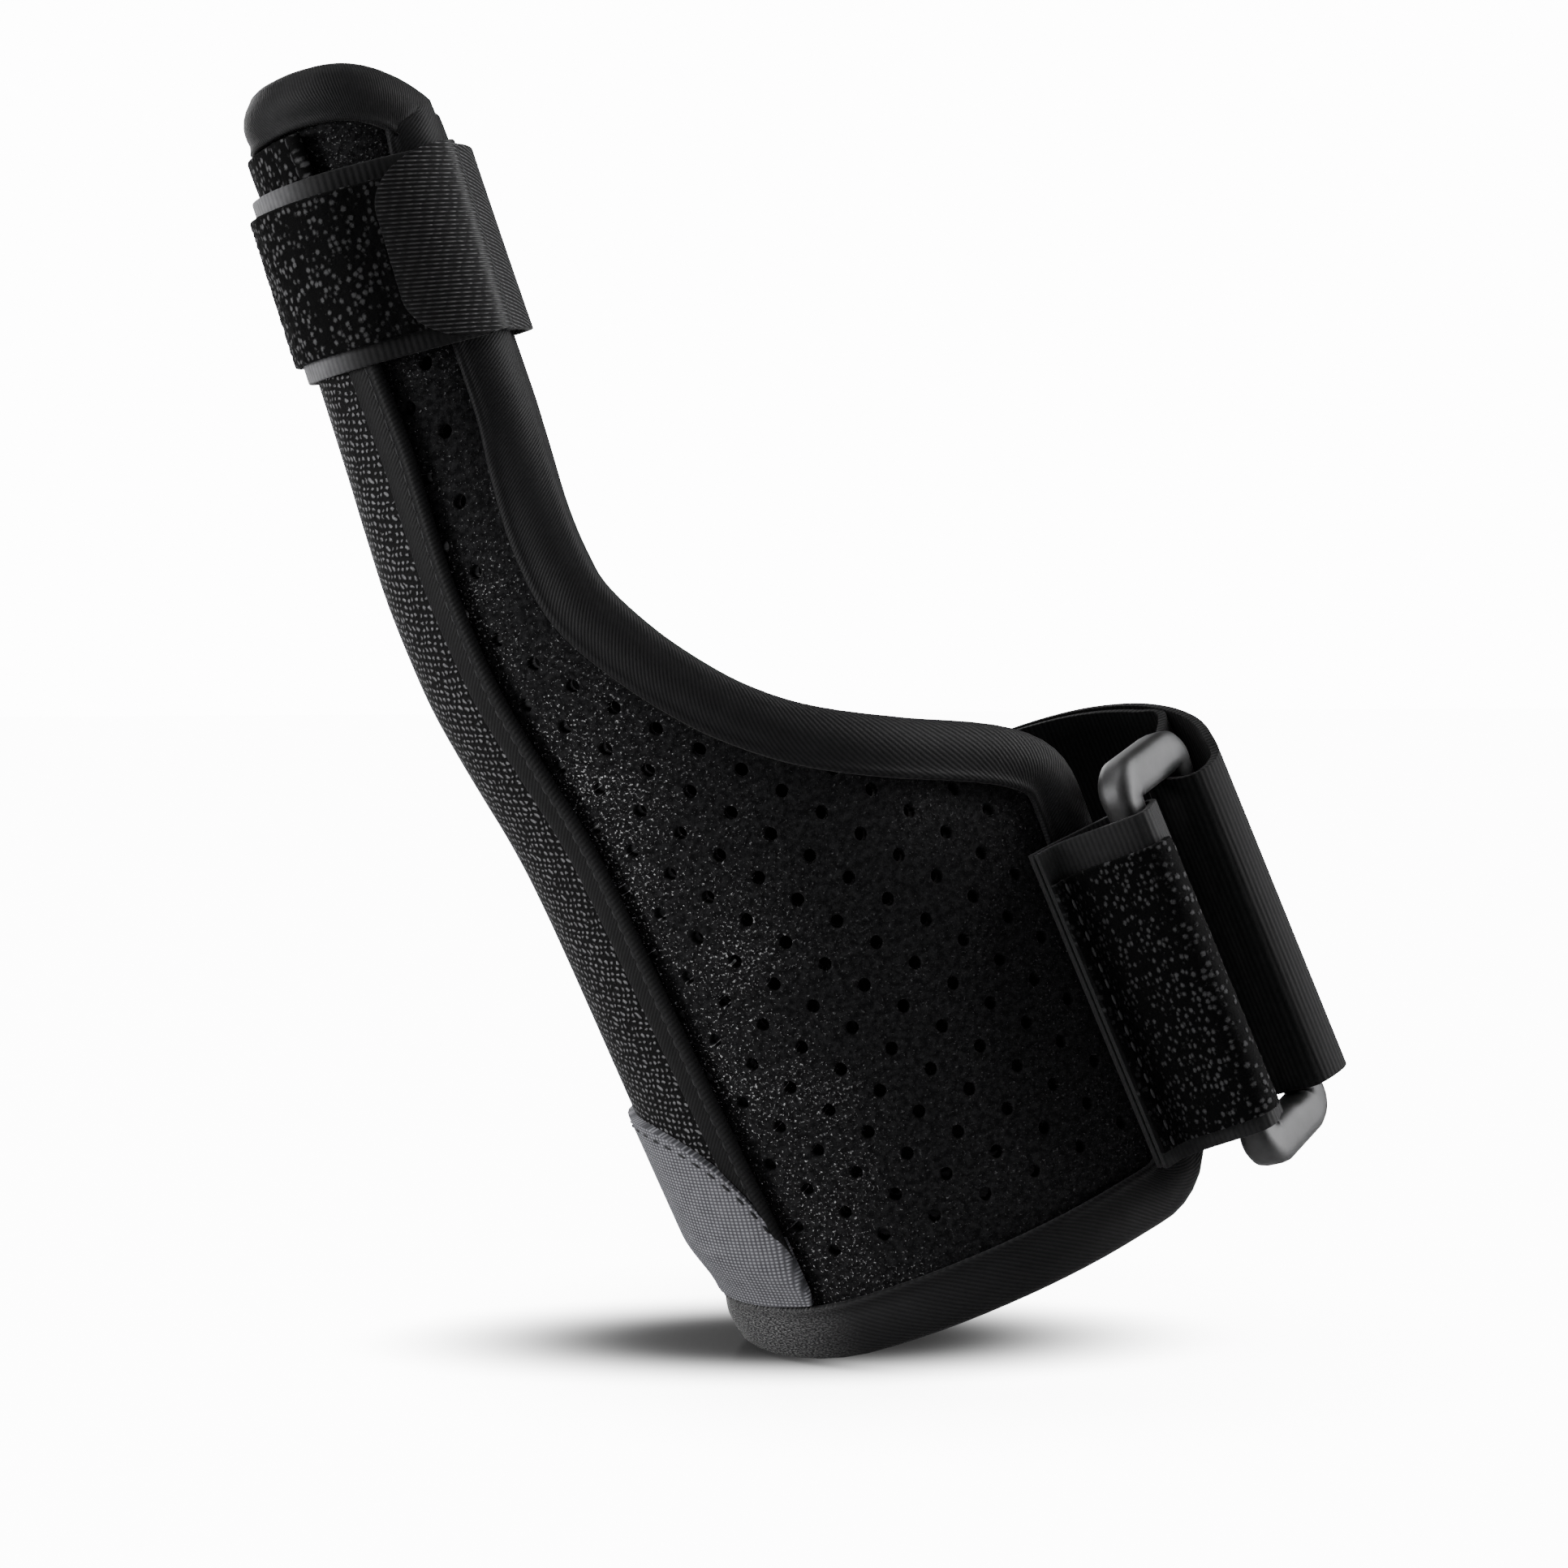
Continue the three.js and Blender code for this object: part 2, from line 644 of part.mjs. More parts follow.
function hookEdges(along) {
  const share = THREE.MathUtils.clamp((HOOK_TAB_START - along) / HOOK_ROUND, 0, 1);
  const half = HALF_STRAP - HOOK_ROUND * (1 - Math.sqrt(1 - (1 - share) ** 2));
  return [-half, half];
}

// The tab lies on the pile in front and on the strap's sewn end at the back, and lower in between.
function hookLayers(along) {
  const fromFront = smooth((bandStart - along) / STRAP_END_MARGIN);
  const toBack = smooth((along - hookEnd) / STRAP_END_MARGIN);
  return hookOver * (1 - fromFront * toBack);
}

addPiece('thumb_hook_tab', strapGeometry(
  HOOK_TAB_START, hookEnd - 2 * STRAP_END_MARGIN, hookEdges, 0, HOOK_THICKNESS, hookLayers,
), '#232427', 0.75);

// Ring buckle, parallel to the forearm in front of the cuff's free front side
const cuffEnd = middlePoint(-reachAt(0), 0);
const ringCentre = new THREE.Vector2(cuffEnd.x + RING_STANDOFF, cuffEnd.y + RING_FORWARD);
const ringOut = new THREE.Vector2(Math.cos(RING_TURN), Math.sin(RING_TURN));
const ringAcross = new THREE.Vector2(-ringOut.y, ringOut.x);

function roundedOutline(path, width, length, radius) {
  const x = width / 2;
  const y = length / 2;
  path.absarc(x - radius, y - radius, radius, 0, Math.PI / 2);
  path.absarc(radius - x, y - radius, radius, Math.PI / 2, Math.PI);
  path.absarc(radius - x, radius - y, radius, Math.PI, Math.PI * 1.5);
  path.absarc(x - radius, radius - y, radius, Math.PI * 1.5, Math.PI * 2);
  path.closePath();
  return path;
}

const RING_CORNER_STEPS = 3;

function ringGeometry() {
  const inset = 2 * RING_BEVEL;
  const outline = roundedOutline(
    new THREE.Shape(), RING_WIDTH - inset, RING_LENGTH - inset, RING_CORNER - RING_BEVEL,
  );
  const innerWidth = RING_WIDTH - 2 * RING_BAR + inset;
  const innerLength = RING_LENGTH - 2 * RING_BAR + inset;
  outline.holes.push(roundedOutline(new THREE.Path(), innerWidth, innerLength, inset));
  const geometry = new THREE.ExtrudeGeometry(outline, {
    depth: RING_THICKNESS - inset,
    bevelThickness: RING_BEVEL,
    bevelSize: RING_BEVEL,
    bevelSegments: 1,
    curveSegments: RING_CORNER_STEPS,
  });
  geometry.translate(0, 0, RING_BEVEL - RING_THICKNESS / 2);
  const basis = new THREE.Matrix4().makeBasis(
    new THREE.Vector3(ringAcross.x, ringAcross.y, 0),
    new THREE.Vector3(0, 0, 1),
    new THREE.Vector3(ringOut.x, ringOut.y, 0),
  );
  geometry.applyMatrix4(basis);
  geometry.translate(ringCentre.x, ringCentre.y, -RING_DROP);
  return mergeVertices(bareGeometry(geometry), WELD);
}

addPiece('ring_buckle', ringGeometry(), '#6f7175', 0.35, 0.9);

// A band that follows a route in the XY plane. low and high are measured to the left of the route,
// and edgesAt gives the heights of its lower and upper edge at a point of the route.
function routeGeometry(route, edgesAt, low, high) {
  const last = route.length - 1;
  return sheetGeometry(last, 1, (i, j, face) => {
    const before = route[Math.max(i - 1, 0)];
    const after = route[Math.min(i + 1, last)];
    const along = after.clone().sub(before).normalize();
    const lift = face ? high : low;
    const x = route[i].x - along.y * lift;
    const y = route[i].y + along.x * lift;
    return new THREE.Vector3(x, y, edgesAt(route[i])[j]);
  });
}

function splineRoute(points, steps) {
  return new THREE.SplineCurve(points).getSpacedPoints(steps);
}

function ringPoint(across, out) {
  return ringCentre.clone().addScaledVector(ringAcross, across).addScaledVector(ringOut, out);
}

// A turn round one bar of the ring through the ring's opening, from its inner side to an end angle.
function barWrap(side, room, endAngle, steps) {
  const bar = side * (RING_WIDTH - RING_BAR) / 2;
  const radius = RING_BEVEL + room;
  const points = [];
  for (let i = 0; i <= steps; i += 1) {
    const angle = lerp(-Math.PI / 2, endAngle, i / steps);
    const across = bar - side * (RING_BAR / 2 - RING_BEVEL + radius * Math.cos(angle));
    const flat = (RING_THICKNESS / 2 - RING_BEVEL) * Math.sign(Math.round(Math.sin(angle) * 10));
    points.push(ringPoint(across, flat + radius * Math.sin(angle)));
  }
  return points;
}

// Ring tab: sewn on the cuff's front, folded round the ring's near bar and back over itself
const TAB_STEPS = 40;
const TAB_WRAP_STEPS = 8;
const TAB_PILE_FROM = 0.58;
const tabRoom = 2 * CLEARANCE + BAND_THICKNESS / 2;
const tabBottom = -TAB_DROP - TAB_WIDTH / 2;
const tabTop = -TAB_DROP + TAB_WIDTH / 2;
const sewnLift = BASE + BINDING_EASE + BINDING_THICKNESS + CLEARANCE + BAND_THICKNESS / 2;
const returnLift = sewnLift + BAND_THICKNESS + LAYER_GAP;

function cuffRoute(across, lift) {
  const point = formPoint(across, 0, lift);
  return new THREE.Vector2(point.x, point.y);
}

function tabRoute() {
  const edge = -reachAt(0);
  const sewn = [cuffRoute(edge + TAB_LENGTH, sewnLift), cuffRoute(edge + TAB_LENGTH / 2, sewnLift)];
  const home = [
    ringPoint(-RING_WIDTH / 2 - RING_BEVEL, RING_THICKNESS / 2 + tabRoom),
    cuffRoute(edge + TAB_LENGTH / 2, returnLift + LAYER_GAP),
    cuffRoute(edge + TAB_LENGTH, returnLift),
  ];
  const wrap = barWrap(-1, tabRoom, Math.PI / 2, TAB_WRAP_STEPS);
  return splineRoute([...sewn, ...wrap, ...home], TAB_STEPS);
}

const tabPath = tabRoute();
addPiece('ring_tab_band', routeGeometry(
  tabPath, () => [tabBottom, tabTop], -BAND_THICKNESS / 2, BAND_THICKNESS / 2,
), '#505156', 0.85);

const pilePath = tabPath.slice(Math.ceil(tabPath.length * TAB_PILE_FROM));
const pileBase = BAND_THICKNESS / 2 + CLEARANCE;
addPiece('ring_tab_pile', routeGeometry(
  pilePath, () => [tabBottom + TAB_SELVAGE / 2, tabTop - TAB_SELVAGE],
  pileBase, pileBase + PILE_THICKNESS,
), '#1d1e20', 1);

// Wrist strap: sewn on the back, round the free side, through the ring and back over itself
const lapGap = WRIST_STRAP_THICKNESS + LAYER_GAP;
const strapRoom = 2 * CLEARANCE + WRIST_STRAP_THICKNESS / 2;
const sewnOut = BASE + BINDING_EASE + BINDING_THICKNESS + CLEARANCE + WRIST_STRAP_THICKNESS / 2;
const behindCuff = CUFF_HALF_DEPTH + sewnOut + lapGap;
const LAP_STEPS = 36;
const INNER_LAP_START = 12;
const LAP_THINNING = 3;
const STRAP_WRAP_STEPS = 4;
const STRAP_STEPS = 84;
const STRAP_SEWN_ALONG = [0.42, 0.52];

function outerLap() {
  const first = LAP_FROM_RING.map((share) => ringPoint(share.across * RING_WIDTH, share.out * RING_WIDTH));
  const round = LAP_ROUND_BACK.map((share) => (
    new THREE.Vector2(share.side * ringCentre.x, lerp(ringCentre.y, behindCuff, share.toBack))
  ));
  return splineRoute([...first, ...round], LAP_STEPS);
}

const lap = outerLap();

function offsetRoute(route, lift) {
  return route.map((point, i) => {
    const before = route[Math.max(i - 1, 0)];
    const after = route[Math.min(i + 1, route.length - 1)];
    const along = after.clone().sub(before).normalize();
    return new THREE.Vector2(point.x - along.y * lift, point.y + along.x * lift);
  });
}

function wristStrapRoute() {
  const sewn = STRAP_SEWN_ALONG.map((share) => {
    const point = middlePoint(reachAt(0) * share, 0);
    return new THREE.Vector2(point.x, CUFF_HALF_DEPTH + sewnOut);
  });
  const inner = offsetRoute(lap, lapGap).slice(INNER_LAP_START).reverse();
  return splineRoute([
    ...sewn,
    ...inner.filter((point, i) => i % LAP_THINNING === 0),
    ...barWrap(1, strapRoom, 0, STRAP_WRAP_STEPS),
    ...lap.filter((point, i) => i % LAP_THINNING === 0),
  ], STRAP_STEPS);
}

// The strap is drawn in a little to pass the ring, and rises towards the back.
function wristStrapEdges(point) {
  const toBack = (point.y - ringCentre.y) / (behindCuff - ringCentre.y);
  const atRing = RING_LENGTH / 2 - RING_BAR - STRAP_RING_ROOM;
  const half = lerp(atRing, WRIST_STRAP_WIDTH / 2, smooth(toBack / STRAP_SPREAD_BY));
  const middle = STRAP_RISE * smooth(toBack) - RING_DROP;
  return [middle - half, middle + half];
}

addPiece('wrist_strap', routeGeometry(
  wristStrapRoute(), wristStrapEdges, -WRIST_STRAP_THICKNESS / 2, WRIST_STRAP_THICKNESS / 2,
), '#121314', 0.55);

// Hook end of the wrist strap, sewn on the outer lap's end and pressed on the strap beside it
const hookRoute = offsetRoute([
  ...lap.slice(-3),
  new THREE.Vector2(lap[LAP_STEPS].x - WRIST_HOOK_LENGTH / 2, lap[LAP_STEPS].y),
  new THREE.Vector2(lap[LAP_STEPS].x - WRIST_HOOK_LENGTH, lap[LAP_STEPS].y),
], -WRIST_STRAP_THICKNESS / 2 - CLEARANCE - HOOK_THICKNESS / 2);

addPiece('wrist_hook_tab', routeGeometry(
  hookRoute, wristStrapEdges, -HOOK_THICKNESS / 2, HOOK_THICKNESS / 2,
), '#232427', 0.75);

export default group;
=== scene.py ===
# Thumb spica splint, standing as it is worn: +Z along the forearm to the thumb tip, -X to the thumb
# side, +X to the ring side and -Y to the front. Lengths are in millimetres until a mesh is placed.

import bpy
import bmesh
from math import cos, floor, hypot, pi, radians, sin, sqrt
from mathutils import Matrix, Vector, noise
from mathutils.geometry import interpolate_bezier


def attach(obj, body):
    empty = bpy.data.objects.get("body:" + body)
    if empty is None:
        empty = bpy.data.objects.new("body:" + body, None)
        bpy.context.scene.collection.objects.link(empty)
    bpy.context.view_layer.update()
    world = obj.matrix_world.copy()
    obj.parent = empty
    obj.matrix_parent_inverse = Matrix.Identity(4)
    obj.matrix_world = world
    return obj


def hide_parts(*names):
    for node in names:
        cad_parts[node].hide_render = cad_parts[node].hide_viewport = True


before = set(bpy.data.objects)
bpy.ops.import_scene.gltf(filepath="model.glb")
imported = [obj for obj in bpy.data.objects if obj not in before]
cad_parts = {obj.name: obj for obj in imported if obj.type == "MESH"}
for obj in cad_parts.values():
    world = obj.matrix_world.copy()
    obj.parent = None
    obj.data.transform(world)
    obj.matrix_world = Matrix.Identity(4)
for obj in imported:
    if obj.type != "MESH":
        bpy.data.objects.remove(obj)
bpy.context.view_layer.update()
MM = 0.001
scene = bpy.context.scene


# Camera and light: a short telephoto view with the forearm leaning to the left in the picture. The
# splint stands on the lower corner of its hem on a white floor, under soft light from the left.
VIEW_DISTANCE = 420 * MM
VIEW_ELEVATION = radians(7)
VIEW_LEAN = radians(23)
VIEW_TARGET = Vector((0.7, 0, 40.3)) * MM

toward_part = Vector((0, cos(VIEW_ELEVATION), -sin(VIEW_ELEVATION)))
limb_up = Vector((0, sin(VIEW_ELEVATION), cos(VIEW_ELEVATION)))
limb_right = Vector((1, 0, 0))
picture_up = limb_up * cos(VIEW_LEAN) + limb_right * sin(VIEW_LEAN)
picture_right = limb_right * cos(VIEW_LEAN) - limb_up * sin(VIEW_LEAN)

camera_data = bpy.data.cameras.new("camera")
camera_data.lens = 70
camera_data.sensor_width = 36
camera_data.clip_start = 10 * MM
camera = bpy.data.objects.new("camera", camera_data)
scene.collection.objects.link(camera)
camera.matrix_world = Matrix.Translation(VIEW_TARGET - toward_part * VIEW_DISTANCE) @ Matrix(
    (picture_right, picture_up, -toward_part)).transposed().to_4x4()
scene.camera = camera


class Wire:
    """A value inside a material that Python's operators work on."""

    def __init__(self, recipe, socket):
        self.recipe = recipe
        self.socket = socket

    def _math(self, operation, *values):
        return self.recipe.node("ShaderNodeMath", {"operation": operation}, *values)

    def __add__(self, other):
        return self._math("ADD", self, other)

    __radd__ = __add__

    def __sub__(self, other):
        return self._math("SUBTRACT", self, other)

    def __rsub__(self, other):
        return self._math("SUBTRACT", other, self)

    def __mul__(self, other):
        return self._math("MULTIPLY", self, other)

    __rmul__ = __mul__

    def __truediv__(self, other):
        return self._math("DIVIDE", self, other)

    def __pow__(self, other):
        return self._math("POWER", self, other)


class Recipe:
    """A material under construction, on the Principled shader."""

    def __init__(self, name, **fixed):
        self.material = bpy.data.materials.new(name)
        self.material.use_nodes = True
        self.tree = self.material.node_tree
        self.shader = self.tree.nodes["Principled BSDF"]
        for socket, value in fixed.items():
            self.shader.inputs[socket.replace("_", " ")].default_value = value

    def node(self, kind, settings, *values, out=0):
        made = self.tree.nodes.new(kind)
        for key, value in settings.items():
            if key == "stops":
                self._stops(made.color_ramp, value)
            else:
                setattr(made, key, value)
        for place, value in enumerate(values):
            self.put(made.inputs[place], value)
        return Wire(self, made.outputs[out])

    def _stops(self, ramp, stops):
        while len(ramp.elements) < len(stops):
            ramp.elements.new(0.5)
        for element, (position, colour) in zip(ramp.elements, stops):
            element.position = position
            element.color = (*colour, 1)

    def put(self, socket, value):
        if isinstance(value, Wire):
            self.tree.links.new(value.socket, socket)
        elif value is not None:
            socket.default_value = value

    def set(self, socket, value):
        self.put(self.shader.inputs[socket], value)

    def pattern(self):
        """The piece's own flat pattern, in millimetres."""
        return self.node("ShaderNodeUVMap", {"uv_map": "pattern"})

    def place(self):
        return self.node("ShaderNodeTexCoord", {}, out=3)

    def axes(self, vector):
        """A vector's first two parts."""
        split = self.node("ShaderNodeSeparateXYZ", {}, vector)
        nodes = split.socket.node
        return Wire(self, nodes.outputs[0]), Wire(self, nodes.outputs[1])

    def size_of(self, value):
        """The value without its sign."""
        return self.node("ShaderNodeMath", {"operation": "ABSOLUTE"}, value)

    def stretched(self, vector, amounts):
        return self.node("ShaderNodeVectorMath", {"operation": "MULTIPLY"}, vector, amounts)

    def noise(self, vector, scale, detail=3, rough=0.5):
        return self.node("ShaderNodeTexNoise", {}, vector, None, scale, detail, rough)

    def cells(self, vector, randomness):
        """Distance to the nearest of many spots that stand about 1 apart."""
        unused = [None] * 5
        return self.node("ShaderNodeTexVoronoi", {}, vector, None, 1, *unused, randomness)

    def step(self, value, low, high):
        """0 below low, 1 above high, with a soft edge between them."""
        return self.node("ShaderNodeMapRange", {"interpolation_type": "SMOOTHSTEP"}, value, low, high, 0, 1)

    def mix(self, share, first, second):
        made = self.tree.nodes.new("ShaderNodeMix")
        made.data_type = "RGBA"
        self.put(made.inputs[0], share)
        for socket, value in ((made.inputs[6], first), (made.inputs[7], second)):
            self.put(socket, value if isinstance(value, Wire) else (*value, 1))
        return Wire(self, made.outputs[2])

    def bump(self, height, depth, strength=1.0):
        """depth is the relief's height in metres."""
        made = self.node("ShaderNodeBump", {}, strength, depth, None, height)
        self.set("Normal", made)


def ridge(recipe, value, pitch):
    """A row of round ridges, 0 to 1, one for each pitch of value."""
    return recipe.node("ShaderNodeMath", {"operation": "SINE"}, value * (2 * pi / pitch)) * 0.5 + 0.5


def new_object(name, mesh):
    thing = bpy.data.objects.new(name, mesh)
    scene.collection.objects.link(thing)
    return thing


def area_light(name, place, size, power, aim):
    data = bpy.data.lights.new(name, "AREA")
    data.shape = "RECTANGLE"
    data.size = size[0]
    data.size_y = size[1]
    data.energy = power
    lamp = bpy.data.objects.new(name, data)
    scene.collection.objects.link(lamp)
    lamp.location = place
    lamp.rotation_euler = (Vector(aim) - Vector(place)).to_track_quat("-Z", "Y").to_euler()


# The lens sees a white studio, and the cloth sees a much dimmer one, so that it stays black.
STUDIO_WHITE = 14
STUDIO_DIM = 0.05

world = bpy.data.worlds.new("studio")
world.use_nodes = True
studio = world.node_tree
seen = studio.nodes.new("ShaderNodeLightPath")
white = studio.nodes.new("ShaderNodeBackground")
white.inputs[1].default_value = STUDIO_WHITE
dim = studio.nodes["Background"]
dim.inputs[1].default_value = STUDIO_DIM
for background in (white, dim):
    background.inputs[0].default_value = (1, 1, 1, 1)
blend = studio.nodes.new("ShaderNodeMixShader")
studio.links.new(seen.outputs["Is Camera Ray"], blend.inputs[0])
studio.links.new(dim.outputs[0], blend.inputs[1])
studio.links.new(white.outputs[0], blend.inputs[2])
studio.links.new(blend.outputs[0], studio.nodes["World Output"].inputs[0])
scene.world = world

middle = (0, 0, 0.05)
area_light("left_front", (-0.66, -0.26, 0.16), (0.3, 0.8), 13, middle)
area_light("right_rim", (0.64, 0.06, 0.06), (0.2, 0.8), 8, middle)
area_light("overhead", (-0.1, -0.1, 0.85), (0.5, 0.5), 3, middle)
area_light("behind", (-0.2, 0.8, 0.35), (0.6, 0.6), 5, middle)


# Foam panel: one mirrored pattern of perforated foam laminate, wrapped round wrist and thumb. Its
# brushed outer face is a black pile full of pale fibre ends. Punched holes stand in staggered rows.
SPLINT_LENGTH = 185
HEM = -31
TIP = HEM + SPLINT_LENGTH
CUFF_HALF_WIDTH = 32.8
CUFF_HALF_DEPTH = 23
THUMB_RADIUS = 12.8
STAY_OFFSET = 32.4
PATTERN_REACH = 82
WEB_BACK_DROP = 5
PANEL_THICKNESS = 2.5
HALF_PANEL = PANEL_THICKNESS / 2
CLEARANCE = 0.3
BASE = HALF_PANEL + CLEARANCE
BINDING_WIDTH = 6.5
HOOD_DEPTH = 5
DOME_DROP = 16
DOME_CROWN = 3.6
DOME_FALL = 8.2
DOME_ROUNDNESS = 4.4
HEM_CORNER = 10
HEM_LIFT = 3
HEM_LIFT_HALF_WIDTH = 26
HOLE_PITCH_ACROSS = 7.1
HOLE_PITCH_UP = 9.2
HOLE_RADIUS = 1.0

# Shares of the limb's form by height, bottom to top: share of the splint's length, stay line, width
# and depth between thumb (0) and cuff (1), reach of the pattern, and degrees of bend before the cloth
# runs on straight.
FORM = [
    (0.0, 1.0, 1.0, 1.0, 0.967, 125),
    (0.168, 1.012, 1.0, 1.0, 0.974, 125),
    (0.308, 1.016, 1.0, 1.0, 1.0, 125),
    (0.339, 1.018, 0.985, 0.98, 0.983, 126),
    (0.366, 1.021, 0.96, 0.95, 0.911, 127),
    (0.402, 1.03, 0.91, 0.9, 0.751, 128),
    (0.434, 1.047, 0.85, 0.85, 0.634, 131),
    (0.466, 1.072, 0.785, 0.8, 0.557, 133),
    (0.502, 1.098, 0.69, 0.72, 0.498, 136),
    (0.539, 1.118, 0.55, 0.61, 0.45, 139),
    (0.579, 1.12, 0.41, 0.48, 0.407, 142),
    (0.625, 1.11, 0.25, 0.31, 0.385, 148),
    (0.675, 1.08, 0.11, 0.14, 0.372, 154),
    (0.719, 1.05, 0.03, 0.03, 0.367, 160),
    (0.8, 1.0, 0.0, 0.0, 0.36, 160),
    (0.914, 0.929, -0.02, -0.02, 0.352, 160),
    (0.97, 0.889, -0.04, -0.04, 0.35, 160),
    (1.0, 0.75, -0.08, -0.06, 0.35, 160),
]
STAY, WIDE, DEEP, REACH, BEND = 1, 2, 3, 4, 5


def lerp(start, end, share):
    return start + (end - start) * share


def smooth(share):
    share = min(1, max(0, share))
    return share * share * (3 - 2 * share)


def track(table, column, up):
    """One column of a table at a height share, along a smooth curve through its rows."""
    last = len(table) - 1
    low = 0
    while low < last - 1 and up > table[low + 1][0]:
        low += 1

    def slope(i):
        before, after = table[max(i - 1, 0)], table[min(i + 1, last)]
        return (after[column] - before[column]) / (after[0] - before[0])

    a, b = table[low], table[low + 1]
    span = b[0] - a[0]
    t = min(1, max(0, (up - a[0]) / span))
    bow = t * (1 - t) * span
    return lerp(a[column], b[column], smooth(t)) + bow * ((1 - t) * slope(low) - t * slope(low + 1))


SECTION_STEPS = 90
sections = {}


def section_at(height):
    """The limb's section at a height: its points, the distance walked to each, and its last run."""
    key = round(height, 3)
    if key not in sections:
        up = (key - HEM) / SPLINT_LENGTH
        wide = lerp(THUMB_RADIUS, CUFF_HALF_WIDTH, track(FORM, WIDE, up))
        deep = lerp(THUMB_RADIUS, CUFF_HALF_DEPTH, track(FORM, DEEP, up))
        centre = wide - STAY_OFFSET * track(FORM, STAY, up)
        bend = radians(track(FORM, BEND, up))
        points = [(centre - wide * cos(bend * i / SECTION_STEPS), deep * sin(bend * i / SECTION_STEPS))
                  for i in range(SECTION_STEPS + 1)]
        walked = [0]
        for a, b in zip(points, points[1:]):
            walked.append(walked[-1] + hypot(b[0] - a[0], b[1] - a[1]))
        run = Vector((wide * sin(bend), deep * cos(bend))).normalized()
        sections[key] = (points, walked, run)
    return sections[key]


def middle_point(across, height):
    """A point of the panel's middle surface, in millimetres."""
    points, walked, run = section_at(height)
    distance = abs(across)
    side = -1 if across < 0 else 1
    if distance >= walked[-1]:
        past = distance - walked[-1]
        return Vector((points[-1][0] + run.x * past, side * (points[-1][1] + run.y * past), height))
    low = min(SECTION_STEPS - 1, floor(distance / walked[-1] * SECTION_STEPS))
    while walked[low] > distance:
        low -= 1
    while walked[low + 1] < distance:
        low += 1
    t = (distance - walked[low]) / (walked[low + 1] - walked[low])
    a, b = points[low], points[low + 1]
    return Vector((lerp(a[0], b[0], t), side * lerp(a[1], b[1], t), height))


def form_point(across, height, lift):
    """A pattern point lifted off the middle surface, outward from the limb."""
    probe = 0.8
    sideways = middle_point(across + probe, height) - middle_point(across - probe, height)
    upward = middle_point(across, height + probe) - middle_point(across, height - probe)
    return middle_point(across, height) + upward.cross(sideways).normalized() * lift


def reach_at(height, side=-1):
    """How far the pattern reaches from the stay line. Over the web the back's edge lies lower."""
    drop = WEB_BACK_DROP if side > 0 else 0
    return PATTERN_REACH * track(FORM, REACH, (height + drop - HEM) / SPLINT_LENGTH)


def hem_at(across):
    distance = abs(across)
    lift = HEM_LIFT * (1 - smooth(distance / HEM_LIFT_HALF_WIDTH))
    share = min(1, max(0, distance - (reach_at(HEM) - HEM_CORNER)) / HEM_CORNER)
    return HEM + lift + HEM_CORNER * (1 - sqrt(1 - share * share))


def tip_at(share):
    """The thumb end's edge. Its shoulders are a little rounder here than the solid's."""
    return TIP - DOME_CROWN - DOME_FALL * abs(share) ** DOME_ROUNDNESS


def outline_point(across_share, up_share):
    height = lerp(hem_at(across_share * reach_at(HEM)), tip_at(across_share), up_share)
    return across_share * reach_at(height, across_share), height


def finish_cloth(name, bm, thickness, materials, nodes, soft_edge=0):
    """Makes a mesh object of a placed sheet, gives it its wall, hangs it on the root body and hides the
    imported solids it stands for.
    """
    mesh = bpy.data.meshes.new(name)
    bmesh.ops.recalc_face_normals(bm, faces=bm.faces)
    outward = sum((face.normal.dot(face.calc_center_median() - Vector((0, 0, face.calc_center_median().z)))
                   for face in bm.faces), 0.0)
    if outward < 0:
        bmesh.ops.reverse_faces(bm, faces=bm.faces)
    for face in bm.faces:
        face.smooth = True
    bmesh.ops.scale(bm, verts=bm.verts, vec=(MM, MM, MM))
    bm.to_mesh(mesh)
    bm.free()
    piece = new_object(name, mesh)
    for material in materials:
        mesh.materials.append(material)
    if thickness:
        wall = piece.modifiers.new("wall", "SOLIDIFY")
        wall.thickness = thickness * MM
        wall.offset = 0
        wall.material_offset = 1 if len(materials) > 1 else 0
        wall.use_even_offset = False
    if soft_edge:
        rounding = piece.modifiers.new("soft_edge", "BEVEL")
        rounding.width = soft_edge * MM
        rounding.segments = 2
        rounding.limit_method = "ANGLE"
        rounding.angle_limit = radians(50)
    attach(piece, "root")
    if nodes:
        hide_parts(*nodes)
    return piece


def flat_sheet(columns, rows, place, pattern):
    """A grid sheet. place and pattern take shares along and up, and give its point and its pattern."""
    bm = bmesh.new()
    bmesh.ops.create_grid(bm, x_segments=columns, y_segments=rows, size=0.5)
    layer = bm.loops.layers.uv.new("pattern")
    for face in bm.faces:
        for loop in face.loops:
            loop[layer].uv = pattern(loop.vert.co.x + 0.5, loop.vert.co.y + 0.5)
    for vert in bm.verts:
        vert.co = place(vert.co.x + 0.5, vert.co.y + 0.5)
    return bm


def pile_face():
    pile = Recipe("speckled_pile", Roughness=0.95, Specular_IOR_Level=0.08, Sheen_Weight=0.02)
    flat = pile.pattern()
    across, up = pile.axes(flat)
    fibres = pile.noise(flat, 2.3, 3, 0.72)
    tufts = pile.noise(flat, 1.1, 3, 0.6)
    clouds = pile.noise(flat, 0.07, 3, 0.6)
    specks = pile.step(fibres + (clouds - 0.5) * 0.2, 0.58, 0.73)
    # Painted light: the specks are painted white near the stay line, on the side the key light from the
    # left falls on, and dim away from it. They are also dimmed towards the thumb end.
    painted_speck_falloff = pile.step(pile.size_of(across), 18, 46) + pile.step(up, 55, 100) * 0.8
    bright = pile.mix(painted_speck_falloff, (0.95, 0.96, 0.97), (0.1, 0.1, 0.103))
    shade = pile.mix(pile.step(tufts, 0.35, 0.7), (0.005, 0.005, 0.0054), (0.02, 0.02, 0.021))
    pile.set("Base Color", pile.mix(specks, shade, bright))
    pile.bump(fibres + tufts * 0.6, 0.5 * MM, 0.6)
    return pile.material


